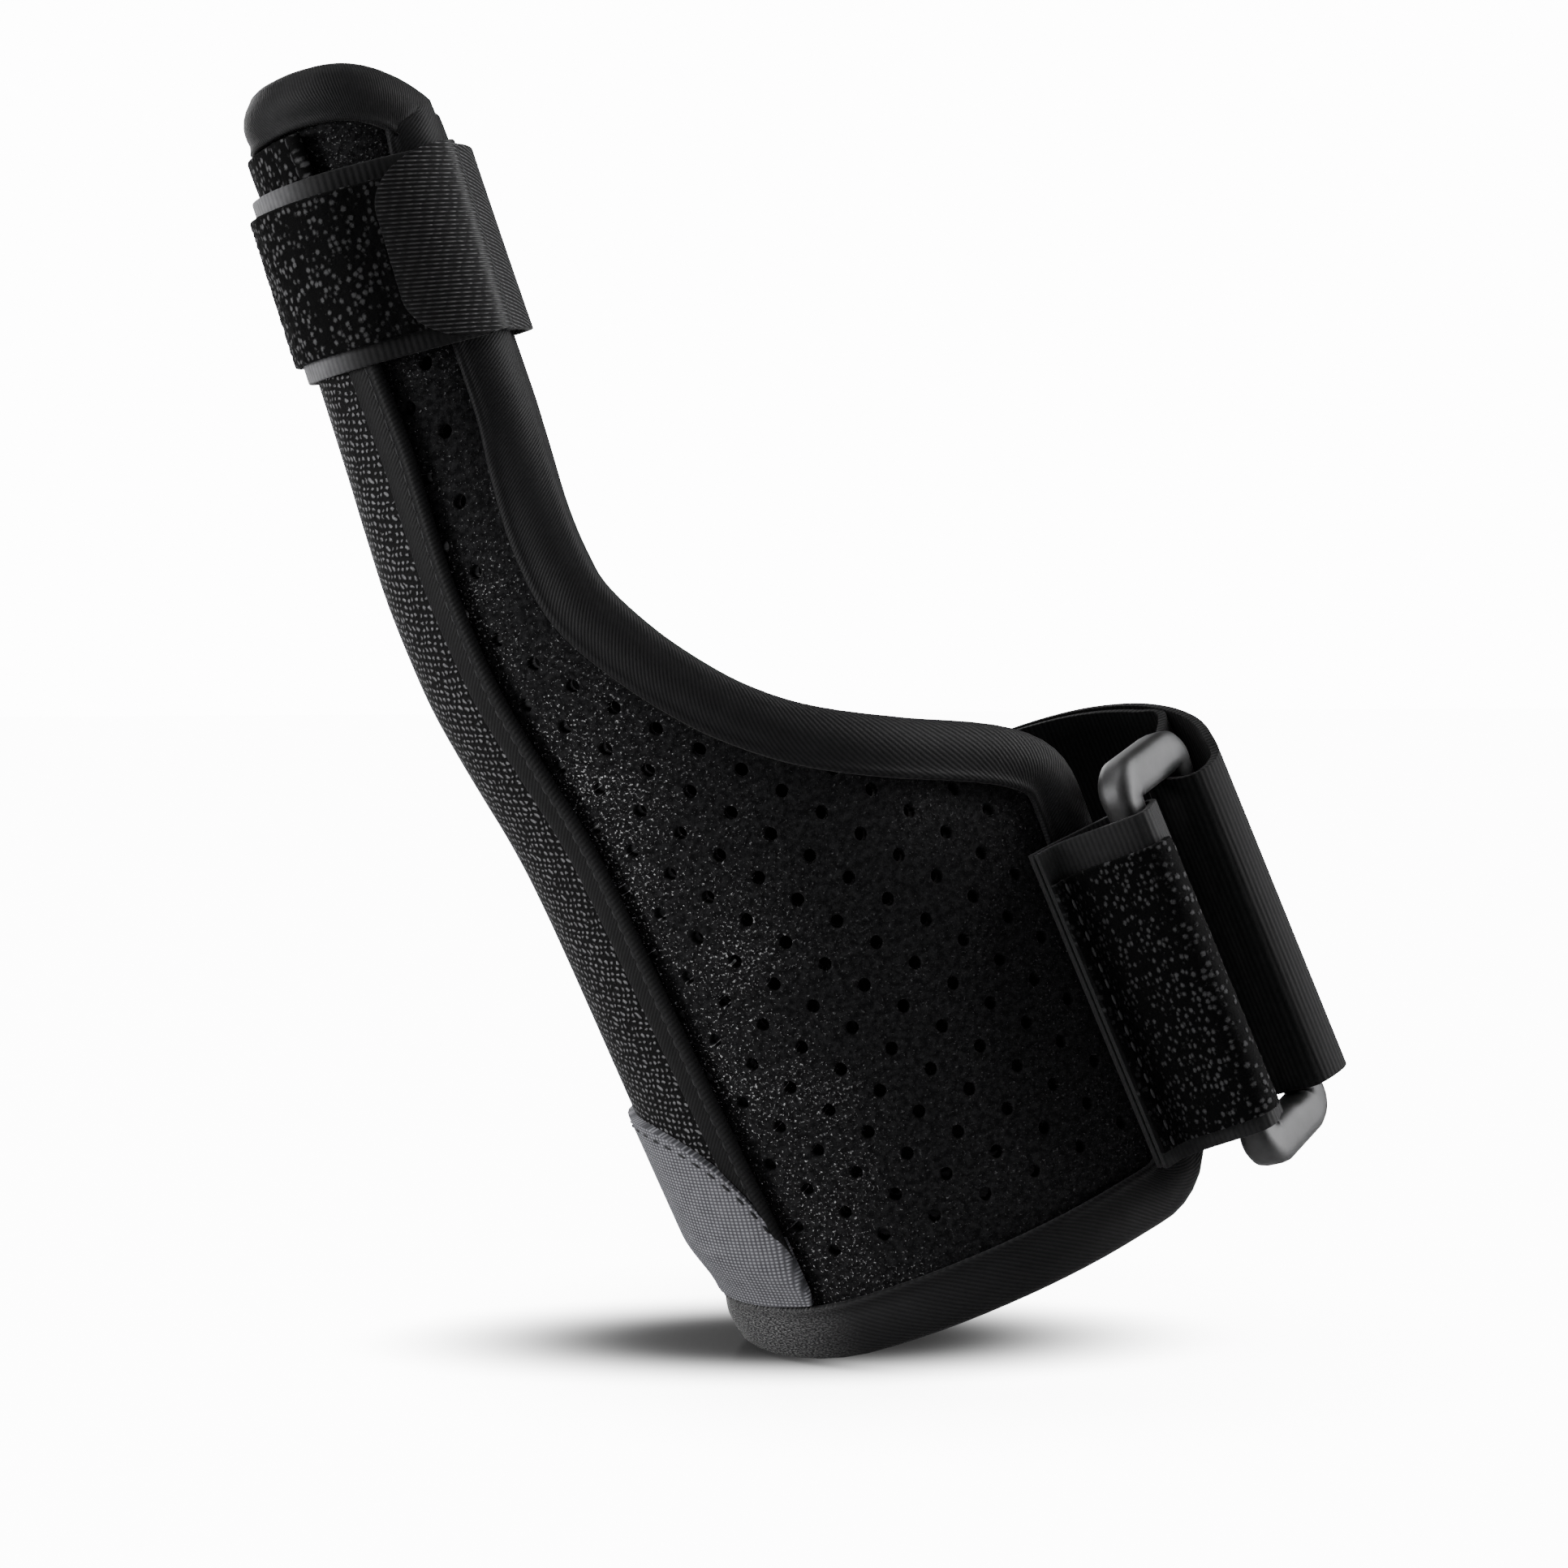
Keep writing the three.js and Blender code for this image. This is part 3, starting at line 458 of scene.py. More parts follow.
def lining():
    inside = Recipe("smooth_lining", Roughness=0.8, Specular_IOR_Level=0.08, Sheen_Weight=0.02)
    flat = inside.pattern()
    across, up = inside.axes(flat)
    knit = ridge(inside, across, 0.5) * ridge(inside, up, 0.4)
    inside.set("Base Color", inside.mix(knit, (0.0015, 0.0015, 0.0016), (0.006, 0.006, 0.0063)))
    inside.bump(knit, 0.1 * MM, 0.5)
    return inside.material


def hole_lattice(across, up):
    """Whether a cell of the pattern's grid, counted from the stay line and the hem, is punched."""
    if across == 0:
        return False
    mirrored = across if across < 0 else 1 - across
    return (mirrored + up) % 2 == 0


def panel_sheet():
    cell_across, cell_up = HOLE_PITCH_ACROSS / 2, HOLE_PITCH_UP / 2
    half_columns = floor(PATTERN_REACH / cell_across)
    rows = floor((SPLINT_LENGTH - 4) / cell_up)
    bm = bmesh.new()
    bmesh.ops.create_grid(bm, x_segments=2 * half_columns, y_segments=rows, size=0.5)
    bmesh.ops.scale(bm, verts=bm.verts, vec=(2 * half_columns * cell_across, rows * cell_up, 1))
    bmesh.ops.translate(bm, verts=bm.verts, vec=(0, HEM + 2 + rows * cell_up / 2, 0))

    def inset_of(face, width, above_hem=0):
        centre = face.calc_center_median()
        reach = reach_at(centre.y, centre.x)
        level = hem_at(centre.x) + width + above_hem < centre.y < tip_at(centre.x / reach) - width
        return level and abs(centre.x) < reach - width

    outside = [face for face in bm.faces if not inset_of(face, 1.5)]
    bmesh.ops.delete(bm, geom=outside, context="FACES")
    punched = []
    for face in bm.faces:
        centre = face.calc_center_median()
        column, row = round(centre.x / cell_across - 0.5), round((centre.y - HEM - 2) / cell_up - 0.5)
        if hole_lattice(column, row) and inset_of(face, BINDING_WIDTH + 3.2, 3):
            punched.append(face)
    bmesh.ops.inset_individual(bm, faces=punched, thickness=0.9, use_even_offset=True)
    rims = list({edge for face in punched for edge in face.edges})
    centres = {face: face.calc_center_median() for face in punched}
    bmesh.ops.subdivide_edges(bm, edges=rims, cuts=1)
    for face, centre in centres.items():
        for vert in face.verts:
            vert.co = centre + (vert.co - centre).normalized() * HOLE_RADIUS
    bmesh.ops.delete(bm, geom=punched, context="FACES")
    mesh = bpy.data.meshes.new("panel_pattern")
    bm.to_mesh(mesh)
    bm.free()
    pattern = new_object("panel_pattern", mesh)
    rounding = pattern.modifiers.new("rounding", "SUBSURF")
    rounding.levels = 1
    rounding.render_levels = 1
    bpy.context.view_layer.update()
    bm = bmesh.new()
    bm.from_mesh(pattern.evaluated_get(bpy.context.evaluated_depsgraph_get()).to_mesh())
    bpy.data.objects.remove(pattern)
    layer = bm.loops.layers.uv.new("pattern")
    for face in bm.faces:
        for loop in face.loops:
            loop[layer].uv = loop.vert.co.xy
    for vert in bm.verts:
        vert.co = form_point(vert.co.x, vert.co.y, 0)
    return bm


pile_finish = pile_face()
lining_finish = lining()
panel = finish_cloth("perforated_panel", panel_sheet(), PANEL_THICKNESS, [pile_finish, lining_finish],
                     ["splint_panel"])


# Edge binding: a strip of smooth stretch knit, folded over the panel's whole edge and sewn through.
# It rolls round the edge a little plump, with a fine rolled seam where its outer flange ends.
BINDING_THICKNESS = 0.8
BINDING_LIFT = 0.55
BINDING_FOLD = 0.36
SEAM_RISE = 0.45
SEAM_WIDTH = 0.9
# Where the binding's specks are painted light: the hem's lower corner on the thumb side.
PAINTED_LIGHT_ASIDE = (-31, -17)
PAINTED_LIGHT_HEIGHT = (HEM + 12, HEM + 16)


def stretch_knit(name, dark, light, painted_light_corner=0):
    """painted_light_corner gives how white the specks are painted at the hem's lower corner on the thumb
    side: painted light where the key light from the left falls.
    """
    knit = Recipe(name, Roughness=0.55, Specular_IOR_Level=0.12, Sheen_Weight=0.03)
    flat = knit.pattern()
    across, up = knit.axes(flat)
    oblique = ridge(knit, across * 0.8 + up * 0.6, 0.42)
    uneven = knit.noise(flat, 0.35, 3, 0.5)
    thread = knit.noise(flat, 6, 2, 0.6)
    shade = knit.mix(oblique * 0.5 + uneven * 0.5, dark, light)
    if painted_light_corner:
        spot = knit.node("ShaderNodeSeparateXYZ", {}, knit.place()).socket.node
        aside, height = Wire(knit, spot.outputs[0]), Wire(knit, spot.outputs[2])
        outside_painted_light = (knit.step(aside, *(limit * MM for limit in PAINTED_LIGHT_ASIDE))
                 + knit.step(height, *(limit * MM for limit in PAINTED_LIGHT_HEIGHT)))
        shade = knit.mix((1 - outside_painted_light) * knit.step(thread, 0.4, 0.7) * painted_light_corner, shade, (1, 1, 1))
    knit.set("Base Color", shade)
    knit.bump(oblique * 0.5 + thread * 0.6, 0.12 * MM, 0.6)
    return knit.material


def bind_depth(height):
    start = TIP - DOME_DROP - HOOD_DEPTH
    return lerp(BINDING_WIDTH, HOOD_DEPTH, smooth((height - start) / DOME_DROP))


def outline_loop():
    """The pattern's outline as shares, bottom, back side, top and front side in turn."""
    sides = 110
    ends = 56
    crowded = [sin((2 * j / ends - 1) * pi / 2) * 0.5 + (2 * j / ends - 1) * 0.5 for j in range(ends)]
    loop = [outline_point(share, 0) for share in crowded]
    loop += [outline_point(1, i / sides) for i in range(sides)]
    loop += [outline_point(-share, 1) for share in crowded]
    loop += [outline_point(-1, 1 - i / sides) for i in range(sides)]
    return loop


def binding_sheet():
    loop = outline_loop()
    count = len(loop)
    rounds = 26
    roll = HALF_PANEL + CLEARANCE + BINDING_THICKNESS / 2

    def profile(share, depth):
        """Distance in from the edge and lift off the middle, round the fold from outer to inner."""
        half_fold = BINDING_FOLD / 2
        if share < 0.5 - half_fold or share > 0.5 + half_fold:
            side = 1 if share < 0.5 else -1
            inward = (abs(share - 0.5) - half_fold) / (0.5 - half_fold)
            swell = BINDING_LIFT * sin(pi * min(1, inward * 1.15 + 0.1))
            rise = SEAM_RISE * smooth((inward * depth - depth + SEAM_WIDTH) / SEAM_WIDTH) if side > 0 else 0
            return inward * depth, side * (roll + max(0, swell) * (1 if side > 0 else 0.3) + rise * 0.6)
        angle = (share - 0.5) / half_fold * pi / 2
        plump = roll + BINDING_LIFT * 0.4
        return -cos(angle) * plump * 0.62, -sin(angle) * plump

    def place(along, around):
        n = round(along * count) % count
        before, here, after = loop[n - 1], loop[n], loop[(n + 1) % count]
        run = Vector((after[0] - before[0], after[1] - before[1])).normalized()
        inset, lift = profile(around, bind_depth(here[1]))
        return form_point(here[0] - run.y * inset, here[1] + run.x * inset, lift)

    def pattern(along, around):
        return along * count * 1.6, around * 22

    bm = flat_sheet(count, rounds, place, pattern)
    bmesh.ops.remove_doubles(bm, verts=bm.verts, dist=0.001)
    return bm


# The binding's specks are painted white at the hem's lower corner on the thumb side: painted light.
binding_finish = stretch_knit("stretch_binding", (0.005, 0.005, 0.0053), (0.02, 0.02, 0.021), 0.2)
binding = finish_cloth("rolled_binding", binding_sheet(), BINDING_THICKNESS, [binding_finish],
                       ["edge_binding"])


# Stay pocket: a strip of open net weave on the thumb side that holds the flat metal stay, with a
# smooth folded border and a thin corded ridge on each side. It runs from the hood to the grey patch.
POCKET_HALF_WIDTH = 20
POCKET_THICKNESS = 1.5
PIPING_WIDTH = 3.4
PIPING_THICKNESS = 1.7
POCKET_PILE_FROM = TIP - 30
PATCH_HEIGHT = 28
PATCH_FILL = 0.97
PATCH_ARCH = 2.3
PATCH_FOOT = 1
PATCH_THICKNESS = 1.2
PATCH_SWELL = 1.6
PATCH_FLATNESS = 0.4
POCKET_FORM = [(0.0, 1.08), (0.3, 0.98), (0.55, 0.88), (0.78, 0.72), (1.0, 0.66)]


def pocket_half(height):
    return POCKET_HALF_WIDTH * track(POCKET_FORM, 1, (height - HEM) / SPLINT_LENGTH)


def inner_half(height):
    return pocket_half(height) - PIPING_WIDTH - CLEARANCE


def pocket_top(across):
    reach = reach_at(TIP)
    top = tip_at(across / reach)
    slope = top - tip_at((abs(across) + 1) / reach)
    return top - (HOOD_DEPTH + 2 * CLEARANCE) * hypot(1, slope)


def hem_top(across):
    return hem_at(across) + BINDING_WIDTH + 2 * CLEARANCE


def patch_top(across):
    half = pocket_half(HEM)
    share = min(1, abs(across) / half)
    top = HEM + HEM_LIFT + BINDING_WIDTH + PATCH_HEIGHT
    return lerp(hem_top(half) + PATCH_FOOT, top, (1 - share ** PATCH_ARCH) ** (1 / PATCH_ARCH))


def strip_sheet(columns, rows, across_at, bottom_at, top_at, lift_at):
    """A strip that lies on the panel between two distances across and two heights."""
    def settle(share, up):
        height = lerp(HEM, TIP, up)
        for _ in range(5):
            across = across_at(share, height)
            height = lerp(bottom_at(across), top_at(across), up)
        return across_at(share, height), height

    def place(share, up):
        across, height = settle(share, up)
        return form_point(across, height, lift_at(share, up))

    return flat_sheet(columns, rows, place, settle)


def net_weave():
    net = Recipe("pocket_net", Roughness=0.7, Specular_IOR_Level=0.12, Sheen_Weight=0.02)
    flat = net.pattern()
    across, up = net.axes(flat)
    drift = net.noise(flat, 0.5, 3, 0.6)
    rungs = ridge(net, up - across * 0.3 + drift * 1.6, 1.0)
    dots = ridge(net, across + up * 0.25 + drift * 2.2, 0.95) * rungs
    fuzz = net.noise(flat, 1.4, 3, 0.6)
    lit = net.step(dots + fuzz * 0.35, 0.5, 0.95)
    net.set("Base Color", net.mix(lit * fuzz * 1.5, (0.001, 0.001, 0.0011), (0.22, 0.22, 0.228)))
    net.bump(dots + fuzz * 0.4, 0.3 * MM, 0.8)
    return net.material


def grey_knit():
    knit = Recipe("grey_knit", Roughness=0.85, Specular_IOR_Level=0.15, Sheen_Weight=0.05)
    flat = knit.pattern()
    across, up = knit.axes(flat)
    grain = ridge(knit, across + up * 0.2, 0.62) * ridge(knit, up - across * 0.2, 0.5)
    uneven = knit.noise(flat, 0.5, 3, 0.5)
    knit.set("Base Color", knit.mix(grain * 0.75 + uneven * 0.25, (0.035, 0.035, 0.04), (0.46, 0.46, 0.5)))
    knit.bump(grain, 0.15 * MM, 0.7)
    return knit.material


def sewing_thread():
    thread = Recipe("sewing_thread", Roughness=0.6, Specular_IOR_Level=0.2)
    ply = thread.noise(thread.place(), 2500, 2, 0.6)
    thread.set("Base Color", thread.mix(ply, (0.01, 0.01, 0.011), (0.05, 0.05, 0.052)))
    thread.bump(ply, 0.05 * MM, 0.5)
    return thread.material


THREAD_RADIUS = 0.2
STITCH_PITCH = 2.3
STITCH_LENGTH = 1.5
thread_finish = sewing_thread()


def stitch_row(name, seam_length, spot_at):
    """A row of stitches. spot_at gives a point of the seam and the direction away from the cloth."""
    count = round(seam_length / STITCH_PITCH)
    bm = bmesh.new()
    for n in range(count):
        spot, outward = spot_at((n + 0.5) / count)
        ahead = (spot_at((n + 0.6) / count)[0] - spot).normalized()
        side = outward.cross(ahead).normalized()
        turn = Matrix((ahead, side, ahead.cross(side))).transposed().to_4x4()
        size = Matrix.Diagonal((STITCH_LENGTH / 2, THREAD_RADIUS, THREAD_RADIUS, 1))
        made = bmesh.ops.create_icosphere(bm, subdivisions=2, radius=1)["verts"]
        bmesh.ops.transform(bm, verts=made, matrix=Matrix.Translation(spot) @ turn @ size)
    return finish_cloth(name, bm, 0, [thread_finish], [])


def on_form(across, height, lift):
    low, high = form_point(across, height, lift), form_point(across, height, lift + 1)
    return low, high - low


border_finish = stretch_knit("pocket_border", (0.003, 0.003, 0.0032), (0.012, 0.012, 0.0125))
net_finish = net_weave()
LOOP_HEIGHT = 0.2
LOOP_DENSITY = 1.3
LOOP_STEEPNESS = 1.6
LOOP_RANDOMNESS = 0.65


def loop_pile(name, brightest):
    """Small oval loops on black, duller away from the stay line."""
    pile = Recipe(name, Roughness=0.85, Specular_IOR_Level=0.08, Sheen_Weight=0.01)
    flat = pile.pattern()
    across, up = pile.axes(flat)
    loops = 1 - pile.cells(pile.stretched(flat, (1.5, 1, 1)), LOOP_RANDOMNESS)
    wisps = pile.noise(flat, 3, 3, 0.7)
    tops = pile.step(loops + wisps * 0.5, 0.76, 1.02)
    lit = 1 - pile.step(pile.size_of(across), 5, 20) * 0.7
    pile.set("Base Color", pile.mix(tops * lit, (0.001, 0.001, 0.0011), brightest))
    pile.bump(tops + wisps * 0.3, 0.5 * MM, 0.8)
    return pile.material


def loop_relief(along, offset):
    """Height of the pile's loops: clumps under a millimetre wide with gaps between them."""
    near = noise.voronoi(Vector((along, offset, 0)) * LOOP_DENSITY)[0][0]
    return LOOP_HEIGHT * (0.5 - min(1, near * LOOP_STEEPNESS))


def pile_above(piece):
    """Gives the loop pile to the part of a piece between the thumb strap and the hood."""
    for face in piece.data.polygons:
        if face.center.z > POCKET_PILE_FROM * MM:
            face.material_index = 1


loop_finish = loop_pile("loop_pile", (0.11, 0.11, 0.113))
# The ring tab's facing gets a darker copy of the loop pile: painted shade.
shaded_tab_loop_finish = loop_pile("tab_loop_pile_painted_shade", (0.06, 0.06, 0.062))

pocket_lift = BASE + POCKET_THICKNESS / 2
pocket = finish_cloth("net_pocket", strip_sheet(
    20, 96,
    lambda share, height: lerp(-1, 1, share) * (inner_half(height) + 0.2),
    lambda across: patch_top(across) - 1, pocket_top,
    lambda share, up: pocket_lift + 0.25 * sin(pi * share),
), POCKET_THICKNESS, [net_finish], ["stay_pocket"], 0.3)
pocket.data.materials.append(loop_finish)
pile_above(pocket)

patch = finish_cloth("grey_patch", strip_sheet(
    36, 24,
    lambda share, height: sin((share - 0.5) * pi) * pocket_half(HEM) * PATCH_FILL,
    hem_top, patch_top,
    lambda share, up: (BASE + PATCH_THICKNESS / 2
                       + PATCH_SWELL * smooth(3 * up) * sin(pi * share) ** PATCH_FLATNESS),
), PATCH_THICKNESS, [grey_knit()], ["pocket_end_patch"], 0.3)


BORDER_SWELL = 0.35
CORD_RISE = 0.55
CORD_SHARE = 0.86
CORD_HALF_SHARE = 0.12
SEAM_SHARE = 0.66
PATCH_SEAM_INSET = 1.4
PATCH_SEAM_LENGTH = 58


def border_lift(share, up):
    """The border swells a little and has its cord near its outer edge."""
    cord = CORD_RISE * max(0, 1 - ((share - CORD_SHARE) / CORD_HALF_SHARE) ** 2)
    return BASE + PIPING_THICKNESS / 2 + BORDER_SWELL * sin(pi * share) * (1 - share) + cord


for side, node in ((-1, "pocket_piping_front"), (1, "pocket_piping_back")):
    border = finish_cloth(node.replace("piping", "border"), strip_sheet(
        16, 110,
        lambda share, height: side * lerp(inner_half(height), pocket_half(height), share),
        lambda across: patch_top(across) - 2, pocket_top, border_lift,
    ), PIPING_THICKNESS * 0.9, [border_finish], [node], 0.3)
    border.data.materials.append(loop_finish)
    pile_above(border)

    def border_spot(share):
        height = lerp(patch_top(pocket_half(HEM) * 0.9), pocket_top(pocket_half(TIP) * 0.6), share)
        across = side * lerp(inner_half(height), pocket_half(height), SEAM_SHARE)
        return on_form(across, height, border_lift(SEAM_SHARE, 0) + PIPING_THICKNESS * 0.45)

    stitches = stitch_row(node.replace("pocket_piping", "border_stitches"), TIP - HEM, border_spot)


def patch_spot(share):
    across = sin((share - 0.5) * 2.7) * pocket_half(HEM) * PATCH_FILL
    rise = BASE + PATCH_THICKNESS + PATCH_SWELL * sin(pi * (share * 0.8 + 0.1)) ** PATCH_FLATNESS
    return on_form(across, patch_top(across) - PATCH_SEAM_INSET, rise)


patch_stitches = stitch_row("patch_stitches", PATCH_SEAM_LENGTH, patch_spot)


# Thumb strap: a smooth grey band sewn at the back, with a narrower strip of coarse loop pile on it,
# and a hook tab with a round end that comes over the open side and presses on the pile in front.
THUMB_STRAP_WIDTH = 25
THUMB_STRAP_HEIGHT = TIP - 28.7
THUMB_STRAP_DROP = 3.8
THUMB_PILE_WIDTH = 20
BAND_THICKNESS = 1
PILE_THICKNESS = 0.9
HOOK_THICKNESS = 1
HOOK_TAB_START = -19.5
HOOK_ROUND = 7
STRAP_STEP_WIDTH = 4
STRAP_END_MARGIN = 4
BAND_START_MARGIN = 1
STRAP_TUCK = 1
CROSSING_HANDLE = 0.21
BINDING_EASE = 0.4


def thumb_loop(height):
    edge = reach_at(height) - STRAP_TUCK
    crossing = middle_point(edge, height).y * 2
    return edge, crossing, 2 * edge + crossing


def thumb_loop_point(along, height, lift):
    edge, crossing, length = thumb_loop(height)
    place = along + length if along < -edge else along
    if place <= edge:
        return form_point(place, height, lift)
    start, end = form_point(edge, height, lift), form_point(-edge, height, lift)
    ahead = (start - form_point(edge - 1, height, lift)).normalized()
    behind = (end - form_point(1 - edge, height, lift)).normalized()
    handle = (start - end).length * CROSSING_HANDLE
    curve = interpolate_bezier(start, start + ahead * handle, end + behind * handle, end, 65)
    spot = (place - edge) / crossing * 64
    low = min(63, max(0, floor(spot)))
    return curve[low].lerp(curve[low + 1], spot - low)


EDGE, _, ROUND = thumb_loop(THUMB_STRAP_HEIGHT)
BAND_START = -EDGE + BAND_START_MARGIN
PILE_END = EDGE - STRAP_END_MARGIN
HOOK_END = PILE_END - ROUND
HOOK_OVER = BAND_THICKNESS + PILE_THICKNESS + 2 * CLEARANCE


def strap_height(along, offset):
    drop = THUMB_STRAP_DROP * (1 - cos(2 * pi * along / ROUND)) / 2
    return THUMB_STRAP_HEIGHT + THUMB_STRAP_DROP / 2 - drop + offset


def strap_base(along):
    half = pocket_half(THUMB_STRAP_HEIGHT - THUMB_STRAP_WIDTH / 2) + CLEARANCE
    wrapped = along + ROUND if along < -EDGE else along
    off_pocket = smooth((abs(wrapped) - half) / STRAP_STEP_WIDTH)
    on_binding = BASE + BINDING_EASE / 2 + BINDING_THICKNESS + CLEARANCE
    return lerp(BASE + PIPING_THICKNESS + CLEARANCE, on_binding, off_pocket)


def hook_layers(along):
    from_front = smooth((BAND_START - along) / STRAP_END_MARGIN)
    to_back = smooth((along - HOOK_END) / STRAP_END_MARGIN)
    return HOOK_OVER * (1 - from_front * to_back)


def hook_edges(along):
    """The hook tab's end has two round corners."""
    share = min(1, max(0, (HOOK_TAB_START - along) / HOOK_ROUND))
    half = THUMB_STRAP_WIDTH / 2 - HOOK_ROUND * (1 - sqrt(1 - (1 - share) ** 2))
    return -half, half


def even_edges(width):
    return lambda along: (-width / 2, width / 2)


def strap_sheet(columns, rows, start, end, edges_at, middle_lift, layers=lambda along: 0, crowding=1,
                relief=lambda along, offset: 0):
    """A strip of the thumb strap. Its columns crowd towards its start, where the hook tab is round."""
    def settle(share, up):
        along = lerp(start, end, share ** crowding)
        return along, lerp(*edges_at(along), up)

    def place(share, up):
        along, offset = settle(share, up)
        lift = strap_base(along) + layers(along) + middle_lift + relief(along, offset)
        return thumb_loop_point(along, strap_height(along, offset), lift)

    return flat_sheet(columns, rows, place, settle)


def woven_band(name, lit_half_width, painted_shade_depth):
    """The band is grey up to the distance lit_half_width from its middle. Beyond that it is painted in
    shade, away from the key light on the left, and painted_shade_depth gives how black it is painted."""
    band = Recipe(name, Roughness=0.7, Specular_IOR_Level=0.15, Sheen_Weight=0.04)
    flat = band.pattern()
    across, up = band.axes(flat)
    ribs = ridge(band, across, 0.7)
    uneven = band.noise(flat, 0.6, 3, 0.6)
    worn = band.mix(ribs * 0.25 + uneven * 0.75, (0.08, 0.08, 0.084), (0.26, 0.26, 0.268))
    painted_shade_share = band.step(band.size_of(across), lit_half_width, lit_half_width + 10) * painted_shade_depth
    band.set("Base Color", band.mix(painted_shade_share, worn, (0.003, 0.003, 0.0033)))
    band.bump(ribs + uneven, 0.1 * MM, 0.5)
    return band.material


def hook_rows():
    hooks = Recipe("ruled_hooks", Roughness=0.5, Specular_IOR_Level=0.2)
    flat = hooks.pattern()
    across, up = hooks.axes(flat)
    patchy = hooks.noise(flat, 0.8, 3, 0.6)
    rows = ridge(hooks, up - across * 0.28, 0.56)
    ticks = ridge(hooks, across + up * 0.3 + patchy * 2, 1.1)
    knobs = hooks.step(rows, 0.5, 0.9) * (0.45 + ticks * 0.55)
    lit = hooks.step(hooks.size_of(across), 17, 31) * 0.75 + 0.25
    hooks.set("Base Color", hooks.mix(knobs * lit, (0.004, 0.004, 0.0042), (0.11, 0.11, 0.114)))
    hooks.bump(knobs, 0.35 * MM, 0.8)
    return hooks.material


# Painted shade: the thumb band is painted black from a little past the stay line, away from the key light.
band_finish = woven_band("grey_band", 5, 0.97)
hook_finish = hook_rows()

band = finish_cloth("thumb_band", strap_sheet(
    64, 14, BAND_START, PILE_END, even_edges(THUMB_STRAP_WIDTH), BAND_THICKNESS / 2,
), BAND_THICKNESS, [band_finish], ["thumb_strap_band"], 0.25)

pile_middle = BAND_THICKNESS + CLEARANCE / 2 + PILE_THICKNESS / 2
thumb_pile = finish_cloth("thumb_pile", strap_sheet(
    190, 44, BAND_START + CLEARANCE, PILE_END - CLEARANCE, even_edges(THUMB_PILE_WIDTH), pile_middle,
    relief=loop_relief,
), PILE_THICKNESS, [loop_finish], ["thumb_strap_pile"], 0.35)

hook_tab = finish_cloth("thumb_hook", strap_sheet(
    96, 20, HOOK_TAB_START, HOOK_END - 2 * STRAP_END_MARGIN, hook_edges, HOOK_THICKNESS / 2, hook_layers,
    crowding=1.7,
), HOOK_THICKNESS, [hook_finish], ["thumb_hook_tab"], 0.25)


def strap_end_spot(share):
    along = PILE_END - 1.6
    height = strap_height(along, lerp(-0.42, 0.42, share) * THUMB_STRAP_WIDTH)
    lift = strap_base(along) + HOOK_OVER + HOOK_THICKNESS
    low, high = (thumb_loop_point(along, height, lift + step) for step in (0, 1))
    return low, high - low


strap_stitches = stitch_row("strap_end_stitches", THUMB_STRAP_WIDTH * 0.84, strap_end_spot)


# Ring buckle: a bent and welded bar of gunmetal, a rounded rectangle parallel to the forearm.
RING_LENGTH = 58.4
RING_WIDTH = 20
RING_BAR = 4.6
RING_THICKNESS = 4
RING_CORNER = 5
RING_BEVEL = 1
RING_STANDOFF = 12.5
RING_FORWARD = 0.9
RING_TURN = radians(-37)
RING_DROP = 2.1
RING_END_PLUMPNESS = 0.3

cuff_end = middle_point(-reach_at(0), 0)
ring_centre = Vector((cuff_end.x + RING_STANDOFF, cuff_end.y + RING_FORWARD))
ring_out = Vector((cos(RING_TURN), sin(RING_TURN)))
ring_across = Vector((-ring_out.y, ring_out.x))


def ring_point(across, out):
    return ring_centre + ring_across * across + ring_out * out


def ring_bar_sheet():
    """The bar's round section carried round the rounded rectangle."""
    radius = RING_CORNER - RING_BAR / 2
    half_width, half_length = (RING_WIDTH - RING_BAR) / 2, (RING_LENGTH - RING_BAR) / 2
    stations = 96

    def middle(along):
        """Point and outward direction in the ring's plane, by quarter turns and straight runs."""
        quarter, share = divmod(along * 4, 1)
        signs = ((1, 1), (-1, 1), (-1, -1), (1, -1))[int(quarter) % 4]
        turn = min(1, share / 0.5)
        angle = (int(quarter) % 4 + turn) * pi / 2
        corner = Vector((signs[0] * (half_width - radius), signs[1] * (half_length - radius)))
        here = corner + Vector((cos(angle), sin(angle))) * radius
        if share > 0.5:
            following = ((-1, 1), (-1, -1), (1, -1), (1, 1))[int(quarter) % 4]
            there = Vector((following[0] * (half_width - radius), following[1] * (half_length - radius)))
            there += Vector((cos(angle), sin(angle))) * radius
            here = here.lerp(there, (share - 0.5) / 0.5)
        return here, Vector((cos(angle), sin(angle)))

    def place(along, around):
        here, outward = middle(along % 1)
        angle = around * 2 * pi
        plump = 1 + RING_END_PLUMPNESS * smooth((abs(here.y) - half_length + radius + 2) / (radius + 2))
        squared = (abs(cos(angle)) ** 4 + abs(sin(angle)) ** 4) ** 0.25 / plump
        here = here + outward * (RING_BAR / 2 * cos(angle) / squared)
        spot = ring_point(here.x, RING_THICKNESS / 2 * sin(angle) / squared)
        return Vector((spot.x, spot.y, here.y - RING_DROP))

    bm = flat_sheet(stations, 20, place, lambda along, around: (along * 150, around * 15))
    bmesh.ops.remove_doubles(bm, verts=bm.verts, dist=0.001)
    return bm


